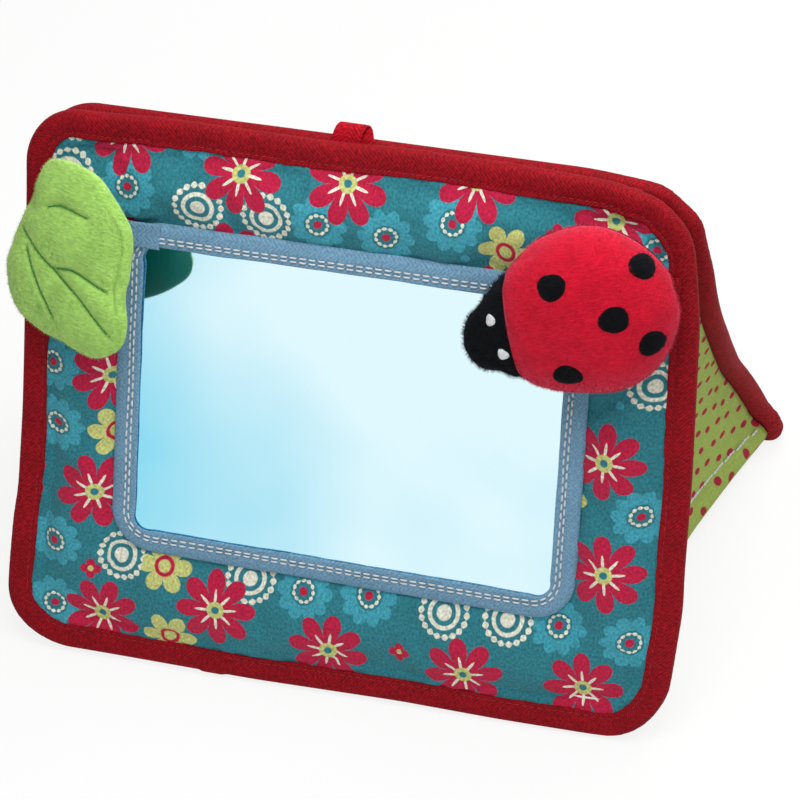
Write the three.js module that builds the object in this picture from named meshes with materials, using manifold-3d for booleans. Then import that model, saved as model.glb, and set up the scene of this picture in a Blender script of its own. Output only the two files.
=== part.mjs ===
// A fabric floor mirror for a baby: two bound panels that stand as a tent, joined along the top and
// by folded side gussets. The front panel carries a safe mirror in a webbing frame, a stuffed leaf
// and a stuffed ladybird. Millimetres, +Z up, +X to the right of someone who faces the mirror.
import * as THREE from "three";
import { mergeVertices } from "three/addons/utils/BufferGeometryUtils.js";
import Module from "manifold-3d";

const wasm = await Module();
wasm.setup();

const degrees = THREE.MathUtils.degToRad;

// Clearances and cuts
const clearance = 0.3;
const edgeClearance = 0.6;
const footCut = 0.6;
const cutterSize = 600;

// Cloth, tape and thread
const cloth = 1;
const tape = 0.9;
const tapeFace = 10.8;
const strap = 0.8;
const thread = 0.5;

// Panels
const panelWidth = 280;
const frontHeight = 239;
const cornerRadius = 26;
const frontLean = degrees(20.5);
const pinchedWadding = 2.2;
const frontPuff = 5.5;
const puffLead = 4.5;
const bedRise = 0.6;
const boardThickness = 1.5;
const boardInset = 30;
const boardRadius = 16;
const liningSlope = 13;
const columnStep = 36;

// Back panel: its middle surface follows a curve from the ridge to the floor
const ridgeGap = 12.5;
const footSpread = 189;
const ridgeDrop = degrees(-5);
const ridgeHandle = 97;
const footSplay = degrees(18.3);
const footHandle = 92;
const footFlare = 5;
const backPuff = 5;
const puffSlope = 40;
const backRowStep = 24;
const backRowCount = 4;

// Mirror and its webbing frame
const sideBorder = 42.3;
const lowBorder = 47;
const highBorder = 46;
const frameRadius = 18;
const frameFace = 10.4;
const webbing = 1.2;
const mirrorLap = 5;
const mirrorThickness = 1;
const outerStitchInset = 5.6;
const innerStitchInset = 8.2;

// Side gussets
const gussetInset = 10;
const gussetTopDrop = 16;
const gussetHemRise = 3;
const gussetFold = 13;

// Ridge tape and hanging loop
const ridgeTapeInset = 27;
const ridgeTapeDrop = 5.5;
const loopWidth = 11;
const loopLeft = -15;
const loopSkew = 6;
const loopRise = 8;

// Leaf
const leafInset = 28;
const leafDrop = 58;
const leafLevel = 21.5;
const leafTilt = degrees(20);
const leafHalfLength = 41.5;
const leafPuff = 6;
const leafUnderPuff = 3.2;
const leafCrownPower = 2.4;
const leafTabWidth = 16;
const leafTabReach = 8;
const leafTabLap = 6;
const leafHingeInset = 3;
const leafRadiusShares = [
  0.68, 0.75, 0.86, 0.93, 1.04, 0.91, 0.72, 0.71, 0.79, 0.9, 0.93, 0.93, 0.99, 0.92, 0.73,
];
const leafRingShares = [0.38, 0.68, 0.88, 1];
const midribShares = [
  [-0.6, 0.21],
  [-0.19, -0.08],
  [0.13, -0.31],
  [0.45, -0.62],
];
const veinShares = [
  [
    [-0.13, -0.04],
    [0.13, -0.03],
    [0.46, -0.17],
  ],
  [
    [-0.24, 0.53],
    [-0.06, 0.58],
    [0.23, 0.53],
  ],
  [
    [-0.52, 0.02],
    [-0.4, -0.21],
    [-0.2, -0.59],
  ],
];

// Ladybird
const ladybirdInset = 45;
const ladybirdDrop = 49;
const ladybirdLevel = 18;
const ladybirdTurn = degrees(19.8);
const ladybirdWidest = 5;
const noseLength = 55;
const tailLength = 35;
const ladybirdHalfWidth = 33.5;
const domeHeight = 22;
const bellyDepth = 8.5;
const noseTaperPower = 1.75;
const tailTaperPower = 1.2;
const noseBend = -5;
const toyFlankPower = 0.85;
const headSeam = -26;
const patch = 0.6;
const spotRadius = 5.6;
const eyeRadius = 2.5;
const ladybirdTabWidth = 14;
const ladybirdTabReach = 21;
const ladybirdHingeInset = 9;
const spotShares = [
  [-0.23, 0.52],
  [0.76, 0.47],
  [0.37, 0],
  [-0.35, -0.58],
  [0.66, -0.43],
];
const eyeShares = [
  [-1.08, 0.27],
  [-1.04, -0.15],
];

// Counts
const cornerSteps = 6;
const leafSpokes = 30;
const toySpokes = 16;
const toyRings = 9;
const gussetSteps = 9;
const nudgeShare = 0.03;
const veinSteps = 9;

// Levels through a panel, from its middle outwards
const coverFloor = pinchedWadding / 2 + clearance;
const coverHem = coverFloor + cloth;
const channelHalf = coverHem + clearance;
const bindingHalf = channelHalf + tape;
const bedLevel = coverHem + bedRise;
const liningSag = boardThickness + clearance;

const panel = { width: panelWidth, height: frontHeight, radius: cornerRadius, base: 0 };
const frame = {
  width: panelWidth - 2 * sideBorder,
  height: frontHeight - lowBorder - highBorder,
  radius: frameRadius,
  base: lowBorder,
};
const sheetInset = tape + edgeClearance;

// Colours
const binding = material(0xb0101c, 0.85);
const webbingBlue = material(0x7fa9c9, 0.8);
const silver = material(0xe8f4f6, 0.05, 1);
const whiteThread = material(0xf2efe6, 0.7);
const printCloth = material(0x2a8088, 0.9);
const wadding = material(0xf4f4f0, 1);
const board = material(0xd8cfb8, 0.8);
const limeCloth = material(0x9fbf55, 0.9);
const leafPlush = material(0x9cc650, 1);
const leafSatin = material(0x0f5a45, 0.6);
const redPlush = material(0xd0142a, 1);
const blackPlush = material(0x101010, 1);

function material(color, roughness, metalness = 0) {
  return new THREE.MeshStandardMaterial({ color, roughness, metalness });
}

// Outlines: a rounded rectangle that stands on base and is centred on x = 0
function inset({ width, height, radius, base }, by) {
  return {
    width: width - 2 * by,
    height: height - 2 * by,
    radius: radius - by,
    base: base + by,
  };
}

function halfWidthAt({ width, height, radius }, rise) {
  const intoCorner = Math.max(radius - rise, radius - (height - rise), 0);
  return width / 2 - radius + Math.sqrt(radius ** 2 - intoCorner ** 2);
}

function depthInside({ width, height, radius, base }, x, v) {
  const overX = Math.abs(x) - (width / 2 - radius);
  const overV = Math.abs(v - base - height / 2) - (height / 2 - radius);
  const beyond = Math.hypot(Math.max(overX, 0), Math.max(overV, 0));
  return radius - beyond - Math.min(Math.max(overX, overV), 0);
}

function roundedShape({ width, height, radius, base }) {
  const shape = new THREE.Shape();
  const right = width / 2 - radius;
  const low = base + radius;
  const high = base + height - radius;
  shape.moveTo(-right, base);
  shape.absarc(right, low, radius, -Math.PI / 2, 0);
  shape.absarc(right, high, radius, 0, Math.PI / 2);
  shape.absarc(-right, high, radius, Math.PI / 2, Math.PI);
  shape.absarc(-right, low, radius, Math.PI, 1.5 * Math.PI);
  return shape;
}

// Geometry helpers
function geometryFrom(points, triangles) {
  const geometry = new THREE.BufferGeometry();
  geometry.setAttribute("position", new THREE.Float32BufferAttribute(points.flat(), 3));
  geometry.setIndex(triangles);
  return geometry;
}

// A closed sheet between two grids of points of the same size, the first on its outer side
function slab(outerRows, innerRows) {
  const rows = outerRows.length;
  const columns = outerRows[0].length;
  const points = [...outerRows.flat(), ...innerRows.flat()];
  const inner = rows * columns;
  const triangles = [];
  for (let j = 0; j + 1 < rows; j++) {
    for (let i = 0; i + 1 < columns; i++) {
      const a = j * columns + i;
      const b = a + 1;
      const c = b + columns;
      const d = a + columns;
      triangles.push(a, b, c, a, c, d);
      triangles.push(inner + a, inner + c, inner + b, inner + a, inner + d, inner + c);
    }
  }
  const rim = [];
  for (let i = 0; i + 1 < columns; i++) rim.push(i);
  for (let j = 0; j + 1 < rows; j++) rim.push(j * columns + columns - 1);
  for (let i = columns - 1; i > 0; i--) rim.push((rows - 1) * columns + i);
  for (let j = rows - 1; j > 0; j--) rim.push(j * columns);
  rim.forEach((p, k) => {
    const q = rim[(k + 1) % rim.length];
    triangles.push(inner + p, inner + q, q, inner + p, q, p);
  });
  return geometryFrom(points, triangles);
}

// A layer of a panel: a grid over a rounded rectangle, with a level for each side. Its columns lie
// at depths from both side edges, and its rows at depths from the lower and the upper edge.
function layer(outline, { columns, lowRows, highRows }, outerLevel, innerLevel) {
  const rises = [...lowRows, ...highRows.map((depth) => outline.height - depth).reverse()];
  const rows = rises.map((rise) => {
    const half = halfWidthAt(outline, rise);
    const left = columns.map((depth) => depth - half);
    const right = columns.map((depth) => half - depth).reverse();
    return [...left, ...right].map((x) => [x, outline.base + rise]);
  });
  const at = (level) => rows.map((row) => row.map(([x, v]) => [x, v, level(x, v)]));
  return slab(at(outerLevel), at(innerLevel));
}

// A closed band round a rounded rectangle. Its section lists [inset, level] corners.
function band(outline, section, sideRises = []) {
  const right = outline.width / 2 - outline.radius;
  const low = outline.base + outline.radius;
  const high = outline.base + outline.height - outline.radius;
  const corners = [
    [right, low, -Math.PI / 2],
    [right, high, 0],
    [-right, high, Math.PI / 2],
    [-right, low, Math.PI],
  ];
  const stations = [];
  corners.forEach(([x, v, start], corner) => {
    for (let step = 0; step <= cornerSteps; step++) {
      const angle = start + (step / cornerSteps) * (Math.PI / 2);
      stations.push({ x, v, angle, reach: outline.radius });
    }
    const side = corner === 0 ? sideRises : corner === 2 ? [...sideRises].reverse() : [];
    const angle = corner === 0 ? 0 : Math.PI;
    side.forEach((rise) => stations.push({ x, v: rise, angle, reach: outline.radius }));
  });
  const points = stations.flatMap(({ x, v, angle, reach }) =>
    section.map(([depth, level]) => [
      x + (reach - depth) * Math.cos(angle),
      v + (reach - depth) * Math.sin(angle),
      level,
    ]),
  );
  const count = section.length;
  const triangles = [];
  for (let k = 0; k < stations.length; k++) {
    const next = (k + 1) % stations.length;
    for (let m = 0; m < count; m++) {
      const n = (m + 1) % count;
      const a = k * count + m;
      const b = k * count + n;
      const c = next * count + n;
      const d = next * count + m;
      triangles.push(a, b, c, a, c, d);
    }
  }
  return geometryFrom(points, triangles);
}

// A strap that follows a path of points, with its width along one direction
function ribbon(path, across, width, thickness) {
  const side = across.clone().normalize();
  const half = side.clone().multiplyScalar(width / 2);
  const grid = (sign) =>
    path.map((point, k) => {
      const before = path[Math.max(k - 1, 0)];
      const after = path[Math.min(k + 1, path.length - 1)];
      const along = after.clone().sub(before).normalize();
      const lift = along.cross(side).normalize().multiplyScalar((sign * thickness) / 2);
      const centre = point.clone().add(lift);
      return [centre.clone().add(half).toArray(), centre.sub(half).toArray()];
    });
  return slab(grid(1), grid(-1));
}

function solid(geometry) {
  const bare = new THREE.BufferGeometry();
  bare.setAttribute("position", geometry.getAttribute("position"));
  if (geometry.index) bare.setIndex(geometry.index);
  const merged = mergeVertices(bare);
  const vertProperties = merged.getAttribute("position").array;
  const triVerts = new Uint32Array(merged.index.array);
  return new wasm.Manifold(new wasm.Mesh({ numProp: 3, vertProperties, triVerts }));
}

function geometryOf(shape) {
  const { vertProperties, triVerts } = shape.getMesh();
  const geometry = new THREE.BufferGeometry();
  geometry.setAttribute("position", new THREE.BufferAttribute(vertProperties, 3));
  geometry.setIndex(new THREE.BufferAttribute(triVerts, 1));
  return geometry;
}

// A block that fills everything beyond a level on one axis, on its lower side if sign is -1
function beyond(axis, level, sign) {
  const block = new THREE.BoxGeometry(cutterSize, cutterSize, cutterSize);
  const centre = new THREE.Vector3();
  centre[axis] = level + (sign * cutterSize) / 2;
  block.translate(centre.x, centre.y, centre.z);
  return solid(block);
}

function mesh(name, geometry, look) {
  const piece = new THREE.Mesh(geometry, look);
  piece.name = name;
  piece.geometry.computeVertexNormals();
  return piece;
}

// Cut what would reach below the floor, for a piece that the given matrix places
function flattenAtFloor(geometry, matrix) {
  const placed = geometry.clone().applyMatrix4(matrix);
  const cut = geometryOf(solid(placed).subtract(beyond("z", 0, -1)));
  return cut.applyMatrix4(matrix.clone().invert());
}

// The front panel: x to the right, y up the panel, z out of its face
const front = new THREE.Group();
front.rotation.x = Math.PI / 2 - frontLean;
front.position.z = channelHalf * Math.sin(frontLean) - footCut;
front.updateMatrix();

const bindingSection = [
  [tapeFace, -bindingHalf],
  [tape, -bindingHalf],
  [0, -channelHalf],
  [0, channelHalf],
  [tape, bindingHalf],
  [tapeFace, bindingHalf],
  [tapeFace, channelHalf],
  [tape, channelHalf],
  [tape, -channelHalf],
  [tapeFace, -channelHalf],
].reverse();

const sheet = inset(panel, sheetInset);
const bed = { ...frame, radius: 0 };
const bandShares = [0.25, 0.5, 0.75, 1];
const underTape = tapeFace - sheetInset;
const cornerRowShares = [0.09, 0.38, 0.75];
const cornerRows = [0, ...cornerRowShares.map((share) => share * sheet.radius)];
const bandLines = (border) => bandShares.map((share) => underTape + share * (border - tapeFace));
const frontGrid = {
  columns: [0, underTape, ...bandLines(sideBorder)],
  lowRows: [...cornerRows, ...bandLines(lowBorder).slice(1)],
  highRows: [...cornerRows, ...bandLines(highBorder).slice(1)],
};

function frontCoverLevel(x, v) {
  const fromBinding = depthInside(panel, x, v) - tapeFace - puffLead;
  const fromFrame = -depthInside(bed, x, v);
  if (fromBinding <= 0) return coverHem;
  if (fromFrame <= 0) return bedLevel;
  const across = fromBinding / (fromBinding + fromFrame);
  return coverHem + bedRise * across + frontPuff * Math.sin(Math.PI * across);
}

function liningLevel(x, v) {
  const fromBinding = depthInside(panel, x, v) - tapeFace;
  const slope = THREE.MathUtils.clamp(fromBinding / liningSlope, 0, 1);
  return -coverFloor - liningSag * slope;
}

const liningFlat = underTape + liningSlope;
const liningRows = [...cornerRows, liningFlat, liningFlat + columnStep];
const liningGrid = {
  columns: [0, underTape, liningFlat, liningFlat + columnStep],
  lowRows: liningRows,
  highRows: liningRows,
};

front.add(
  mesh(
    "front_cover",
    layer(sheet, frontGrid, frontCoverLevel, (x, v) => frontCoverLevel(x, v) - cloth),
    printCloth,
  ),
  mesh(
    "front_wadding",
    layer(
      sheet,
      frontGrid,
      (x, v) => frontCoverLevel(x, v) - cloth - clearance,
      () => -pinchedWadding / 2,
    ),
    wadding,
  ),
  mesh(
    "front_lining",
    layer(sheet, liningGrid, liningLevel, (x, v) => liningLevel(x, v) - cloth),
    limeCloth,
  ),
  mesh("front_binding", flattenAtFloor(band(panel, bindingSection), front.matrix), binding),
);

const boardOutline = { ...inset(panel, boardInset), radius: boardRadius };
const boardGeometry = new THREE.ExtrudeGeometry(roundedShape(boardOutline), {
  depth: boardThickness,
  bevelEnabled: false,
  curveSegments: cornerSteps,
});
boardGeometry.translate(0, 0, -coverFloor - boardThickness);
front.add(mesh("front_board", boardGeometry, board));

// Mirror, webbing frame and its two rows of stitching
const mirrorLevel = bedLevel + clearance;
const webbingLevel = mirrorLevel + mirrorThickness + clearance;
const mirrorGeometry = new THREE.ExtrudeGeometry(roundedShape(inset(frame, mirrorLap)), {
  depth: mirrorThickness,
  bevelEnabled: false,
  curveSegments: cornerSteps,
});
mirrorGeometry.translate(0, 0, mirrorLevel);

const frameSection = [
  [0, mirrorLevel],
  [mirrorLap - clearance, mirrorLevel],
  [mirrorLap - clearance, webbingLevel],
  [frameFace, webbingLevel],
  [frameFace, webbingLevel + webbing],
  [mirrorLap - webbing, webbingLevel + webbing],
  [0, mirrorLevel + webbing],
];

function stitchSection(depth) {
  const level = webbingLevel + webbing + clearance;
  return [
    [depth, level],
    [depth + thread, level],
    [depth + thread, level + thread],
    [depth, level + thread],
  ];
}

front.add(
  mesh("mirror", mirrorGeometry, silver),
  mesh("mirror_frame", band(frame, frameSection), webbingBlue),
  mesh("frame_stitch_outer", band(frame, stitchSection(outerStitchInset)), whiteThread),
  mesh("frame_stitch_inner", band(frame, stitchSection(innerStitchInset)), whiteThread),
);

// The back panel: the same layers, bent along the curve from the ridge to the floor
const ridge = new THREE.Vector3(0, frontHeight, -ridgeGap).applyMatrix4(front.matrix);
const foot = new THREE.Vector3(0, footSpread, channelHalf * Math.sin(footSplay) - footCut);
const backCurve = new THREE.CubicBezierCurve3(
  ridge,
  new THREE.Vector3(0, Math.sin(ridgeDrop), -Math.cos(ridgeDrop)).multiplyScalar(ridgeHandle).add(ridge),
  new THREE.Vector3(0, -Math.sin(footSplay), Math.cos(footSplay)).multiplyScalar(footHandle).add(foot),
  foot,
);
const backHeight = backCurve.getLength();
const backPanel = { ...panel, height: backHeight };
const backSheet = inset(backPanel, sheetInset);

function backPoint(x, v, n) {
  const down = THREE.MathUtils.clamp(1 - v / backHeight, 0, 1);
  const point = backCurve.getPointAt(down);
  const along = backCurve.getTangentAt(down);
  const past = (1 - v / backHeight - down) * backHeight;
  const flare = 1 + (footFlare / (panelWidth / 2)) * down ** 2;
  return new THREE.Vector3(
    -x * flare,
    point.y + past * along.y - n * along.z,
    point.z + past * along.z + n * along.y,
  );
}

function bent(geometry) {
  const positions = geometry.getAttribute("position");
  for (let i = 0; i < positions.count; i++) {
    const point = backPoint(positions.getX(i), positions.getY(i), positions.getZ(i));
    positions.setXYZ(i, point.x, point.y, point.z);
  }
  return geometry;
}

function backCoverLevel(x, v) {
  const fromBinding = depthInside(backPanel, x, v) - tapeFace - puffLead;
  const across = THREE.MathUtils.clamp(fromBinding / puffSlope, 0, 1);
  return coverHem + backPuff * Math.sin((across * Math.PI) / 2);
}

const backRowRises = Array.from({ length: backRowCount }, (_, k) => (k + 1) * backRowStep);
const backSideRows = backRowRises.map((rise) => rise + sheetInset);
const backRows = [...cornerRows, ...backRowRises];
const backGrid = {
  columns: [0, underTape, underTape + puffSlope / 2, underTape + puffSlope],
  lowRows: backRows,
  highRows: backRows,
};
const backRises = [...backSideRows, ...backSideRows.map((rise) => backHeight - rise).reverse()];

const back = new THREE.Group();
back.add(
  mesh(
    "back_cover",
    bent(
      layer(backSheet, backGrid, backCoverLevel, (x, v) => backCoverLevel(x, v) - cloth),
    ),
    printCloth,
  ),
  mesh(
    "back_wadding",
    bent(
      layer(
        backSheet,
        backGrid,
        (x, v) => backCoverLevel(x, v) - cloth - clearance,
        () => -pinchedWadding / 2,
      ),
    ),
    wadding,
  ),
  mesh(
    "back_lining",
    bent(layer(backSheet, backGrid, () => -coverFloor, () => -coverHem)),
    limeCloth,
  ),
  mesh(
    "back_binding",
    flattenAtFloor(bent(band(backPanel, bindingSection, backRises)), new THREE.Matrix4()),
    binding,
  ),
);

// Gussets: triangles of cloth from panel to panel, folded inwards along their middle
const gussetLevel = -(bindingHalf + clearance + cloth / 2);

function gussetPoint(side, down, across) {
  const frontV = THREE.MathUtils.lerp(frontHeight - gussetTopDrop, gussetHemRise, down);
  const backV = THREE.MathUtils.lerp(backHeight - gussetTopDrop, gussetHemRise, down);
  const frontX = halfWidthAt(panel, frontV) - gussetInset;
  const backX = halfWidthAt(backPanel, backV) - gussetInset;
  const start = new THREE.Vector3(side * frontX, frontV, gussetLevel).applyMatrix4(front.matrix);
  const end = backPoint(-side * backX, backV, gussetLevel);
  const point = start.lerp(end, across);
  point.x -= side * gussetFold * down * Math.sin(Math.PI * across);
  return point;
}

function gusset(side) {
  const step = 1 / gussetSteps;
  const rows = (level) =>
    Array.from({ length: gussetSteps + 1 }, (_, j) =>
      Array.from({ length: gussetSteps + 1 }, (_, i) => {
        const down = 1 - j * step;
        const across = i * step;
        const point = gussetPoint(side, down, across);
        const alongPoint = gussetPoint(side, down, across + nudgeShare * step);
        const downPoint = gussetPoint(side, down - nudgeShare * step, across);
        const normal = alongPoint.sub(point).cross(downPoint.sub(point)).normalize();
        return point.addScaledVector(normal, level).toArray();
      }),
    );
  return slab(rows(cloth / 2), rows(-cloth / 2));
}

// Ridge tape and hanging loop, both in the front panel's axes
const tapeRoom = ridgeGap - 2 * bindingHalf - 2 * clearance;
const ridgeTape = new THREE.BoxGeometry(panelWidth - 2 * ridgeTapeInset, cloth, tapeRoom);
ridgeTape.translate(0, frontHeight - ridgeTapeDrop, -ridgeGap / 2);

const loopHalf = (tapeRoom - strap) / 2;
const loopShares = [
  [0.1, 1],
  [0.6, 1.45],
  [0.92, 0.9],
  [1, 0],
  [0.92, -0.9],
  [0.6, -1.45],
  [0.1, -1],
];
const loopFoot = frontHeight - ridgeTapeDrop + cloth / 2 + clearance;
const loopStations = [
  [loopFoot, 1],
  ...loopShares.map(([rise, reach]) => [frontHeight + rise * loopRise, reach]),
  [loopFoot, -1],
];
const loopPath = loopStations.map(([y, reach], k) => {
  const x = loopLeft + loopWidth / 2 + (loopSkew * k) / (loopStations.length - 1);
  return new THREE.Vector3(x, y, -ridgeGap / 2 + reach * loopHalf);
});

front.add(
  mesh("ridge_tape", ridgeTape, binding),
  mesh("hanging_loop", ribbon(loopPath, new THREE.Vector3(1, 0, 0), loopWidth, strap), binding),
);

// Leaf: x and y in its own plane, z out of its plush face
function leafRadius(angle) {
  const count = leafRadiusShares.length;
  const place = ((angle / (2 * Math.PI) + 1) % 1) * count;
  const k = Math.floor(place);
  const t = place - k;
  const [p, q, r, s] = [-1, 0, 1, 2].map((d) => leafRadiusShares[(k + d + count) % count]);
  const slopeIn = (r - p) / 2;
  const slopeOut = (s - q) / 2;
  const curve =
    (2 * t ** 3 - 3 * t ** 2 + 1) * q +
    (t ** 3 - 2 * t ** 2 + t) * slopeIn +
    (3 * t ** 2 - 2 * t ** 3) * r +
    (t ** 3 - t ** 2) * slopeOut;
  return curve * leafHalfLength;
}

// A closed pad of leaf outline, from its middle out to the last of the given rings
function leafPad(ringShares, upperLevel, lowerLevel) {
  const side = (level) => [
    [0, 0, level(0)],
    ...ringShares.flatMap((share) =>
      Array.from({ length: leafSpokes }, (_, k) => {
        const angle = (k / leafSpokes) * 2 * Math.PI;
        const reach = share * leafRadius(angle);
        return [reach * Math.cos(angle), reach * Math.sin(angle), level(share)];
      }),
    ),
  ];
  const upper = side(upperLevel);
  const triangles = [];
  const lower = upper.length;
  for (let k = 0; k < leafSpokes; k++) {
    const next = (k + 1) % leafSpokes;
    triangles.push(0, 1 + k, 1 + next, lower, lower + 1 + next, lower + 1 + k);
    for (let ring = 0; ring + 1 < ringShares.length; ring++) {
      const a = 1 + ring * leafSpokes + k;
      const b = 1 + ring * leafSpokes + next;
      const c = b + leafSpokes;
      const d = a + leafSpokes;
      triangles.push(a, d, c, a, c, b);
      triangles.push(lower + a, lower + c, lower + d, lower + a, lower + b, lower + c);
    }
    const p = 1 + (ringShares.length - 1) * leafSpokes + k;
    const q = 1 + (ringShares.length - 1) * leafSpokes + next;
    triangles.push(lower + p, lower + q, q, lower + p, q, p);
  }
  return geometryFrom([...upper, ...side(lowerLevel)], triangles);
}

const leafSeam = clearance / 2;
const leafDome = (share) => 1 - share ** leafCrownPower;
const faceLevel = (share) => leafSeam + cloth + leafPuff * leafDome(share);
const underLevel = (share) => -leafSeam - cloth - leafUnderPuff * leafDome(share);

function veinPath(shares) {
  const points = shares.map(([x, y]) => new THREE.Vector3(x, y, 0).multiplyScalar(leafHalfLength));
  return new THREE.CatmullRomCurve3(points).getPoints(veinSteps).map((point) => {
    const share = Math.hypot(point.x, point.y) / leafRadius(Math.atan2(point.y, point.x));
    point.z = faceLevel(share) + clearance + thread;
    return point;
  });
}

function vein(name, shares) {
  const path = veinPath(shares);
  const across = new THREE.Vector3(0, 0, 1).cross(path[path.length - 1].clone().sub(path[0]));
  return mesh(name, ribbon(path, across, 2 * thread, thread), leafSatin);
}

const leafY = frontHeight - leafDrop;
const leaf = new THREE.Group();
leaf.position.set(leafInset - panelWidth / 2, leafY, leafLevel);
leaf.rotation.y = -leafTilt;
leaf.add(
  mesh("leaf_face", leafPad(leafRingShares, faceLevel, (share) => faceLevel(share) - cloth), leafPlush),
  mesh(
    "leaf_underside",
    leafPad(leafRingShares, (share) => underLevel(share) + cloth, underLevel),
    leafSatin,
  ),
  mesh(
    "leaf_wadding",
    leafPad(
      leafRingShares.slice(0, -1),
      (share) => faceLevel(share) - cloth - clearance,
      (share) => underLevel(share) + cloth + clearance,
    ),
    wadding,
  ),
  vein("leaf_midrib", midribShares),
  ...veinShares.map((shares, k) => vein("leaf_vein_" + (k + 1), shares)),
);
front.add(leaf);

// The leaf's tab rises from the binding and runs along the underside
const tabFoot = bindingHalf + clearance + strap / 2;
const leafTabLevel = underLevel(0) - clearance - strap / 2;
leaf.updateMatrix();
const leafHingeX = leafHingeInset - panelWidth / 2;
const leafTabPath = [
  new THREE.Vector3(leafHingeX, leafY, tabFoot),
  new THREE.Vector3(leafHingeX + leafTabLap, leafY, tabFoot + strap),
  new THREE.Vector3(-leafTabReach - leafTabLap, 0, leafTabLevel).applyMatrix4(leaf.matrix),
  new THREE.Vector3(-leafTabReach, 0, leafTabLevel).applyMatrix4(leaf.matrix),
];
front.add(
  mesh(
    "leaf_tab",
    ribbon(leafTabPath, new THREE.Vector3(0, 1, 0), leafTabWidth, strap),
    leafSatin,
  ),
);

// Ladybird: x from nose to tail, z out of the panel. Its nose bends to one side.
function noseShift(x) {
  return noseBend * (Math.min(x - ladybirdWidest, 0) / noseLength) ** 2;
}

// The body, grown or shrunk by an offset
function ladybirdBody(grow) {
  const nose = ladybirdWidest - noseLength - grow;
  const points = [[nose, noseShift(nose), 0]];
  for (let ring = 1; ring <= toyRings; ring++) {
    const turn = (ring / (toyRings + 1)) * Math.PI;
    const length = (turn < Math.PI / 2 ? noseLength : tailLength) + grow;
    const share = Math.sin(turn) ** (turn < Math.PI / 2 ? noseTaperPower : tailTaperPower);
    const x = ladybirdWidest - length * Math.cos(turn);
    for (let k = 0; k < toySpokes; k++) {
      const angle = (k / toySpokes) * 2 * Math.PI;
      const height = Math.sin(angle) > 0 ? domeHeight : bellyDepth;
      const lift = Math.sign(Math.sin(angle)) * Math.abs(Math.sin(angle)) ** toyFlankPower;
      points.push([
        x,
        noseShift(x) + (ladybirdHalfWidth + grow) * share * Math.cos(angle),
        (height + grow) * share * lift,
      ]);
    }
  }
  points.push([ladybirdWidest + tailLength + grow, 0, 0]);
  const last = points.length - 1;
  const triangles = [];
  for (let k = 0; k < toySpokes; k++) {
    const next = (k + 1) % toySpokes;
    triangles.push(0, 1 + next, 1 + k);
    triangles.push(last, last - toySpokes + k, last - toySpokes + next);
    for (let ring = 0; ring + 1 < toyRings; ring++) {
      const a = 1 + ring * toySpokes + k;
      const b = 1 + ring * toySpokes + next;
      triangles.push(a, b, b + toySpokes, a, b + toySpokes, a + toySpokes);
    }
  }
  return solid(geometryFrom(points, triangles));
}

const ladybirdOuter = ladybirdBody(0);
const ladybirdSkin = ladybirdOuter.subtract(ladybirdBody(-cloth));
const halfGap = clearance / 2;
const abdomen = ladybirdSkin.subtract(beyond("x", headSeam + halfGap, -1));
const head = ladybirdSkin.subtract(beyond("x", headSeam - halfGap, 1));
const patchSkin = ladybirdBody(clearance + patch).subtract(ladybirdBody(clearance));

// The dome's height above the seam
function domeRise(x, y) {
  const isNose = x < ladybirdWidest;
  const along = (x - ladybirdWidest) / (isNose ? noseLength : tailLength);
  const share = Math.sqrt(1 - along ** 2) ** (isNose ? noseTaperPower : tailTaperPower);
  const across = (y - noseShift(x)) / (ladybirdHalfWidth * share);
  return domeHeight * share * Math.sqrt(1 - across ** 2) ** toyFlankPower;
}

// A round patch on the dome, square to the surface below it
function domePatch(xShare, yShare, radius) {
  const x = ladybirdWidest + xShare * tailLength;
  const y = noseShift(x) + yShare * ladybirdHalfWidth;
  const rise = domeRise(x, y);
  const outward = new THREE.Vector3(
    domeRise(x - patch, y) - domeRise(x + patch, y),
    domeRise(x, y - patch) - domeRise(x, y + patch),
    2 * patch,
  ).normalize();
  const plug = new THREE.CylinderGeometry(radius, radius, domeHeight, toySpokes);
  plug.translate(0, domeHeight / 2 - radius / 2, 0);
  plug.applyQuaternion(new THREE.Quaternion().setFromUnitVectors(new THREE.Vector3(0, 1, 0), outward));
  plug.translate(x, y, rise);
  return geometryOf(patchSkin.intersect(solid(plug)));
}

const ladybird = new THREE.Group();
ladybird.position.set(panelWidth / 2 - ladybirdInset, frontHeight - ladybirdDrop, ladybirdLevel);
ladybird.rotation.z = ladybirdTurn;
ladybird.add(
  mesh("ladybird_back", geometryOf(abdomen.subtract(beyond("z", halfGap, -1))), redPlush),
  mesh("ladybird_belly", geometryOf(abdomen.subtract(beyond("z", -halfGap, 1))), blackPlush),
  mesh("ladybird_head", geometryOf(head), blackPlush),
  mesh("ladybird_stuffing", geometryOf(ladybirdBody(-cloth - clearance)), wadding),
  ...spotShares.map(([x, y], k) =>
    mesh("ladybird_spot_" + (k + 1), domePatch(x, y, spotRadius), blackPlush),
  ),
  ...eyeShares.map(([x, y], k) =>
    mesh("ladybird_eye_" + (k + 1), domePatch(x, y, eyeRadius), whiteThread),
  ),
);
front.add(ladybird);

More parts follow.
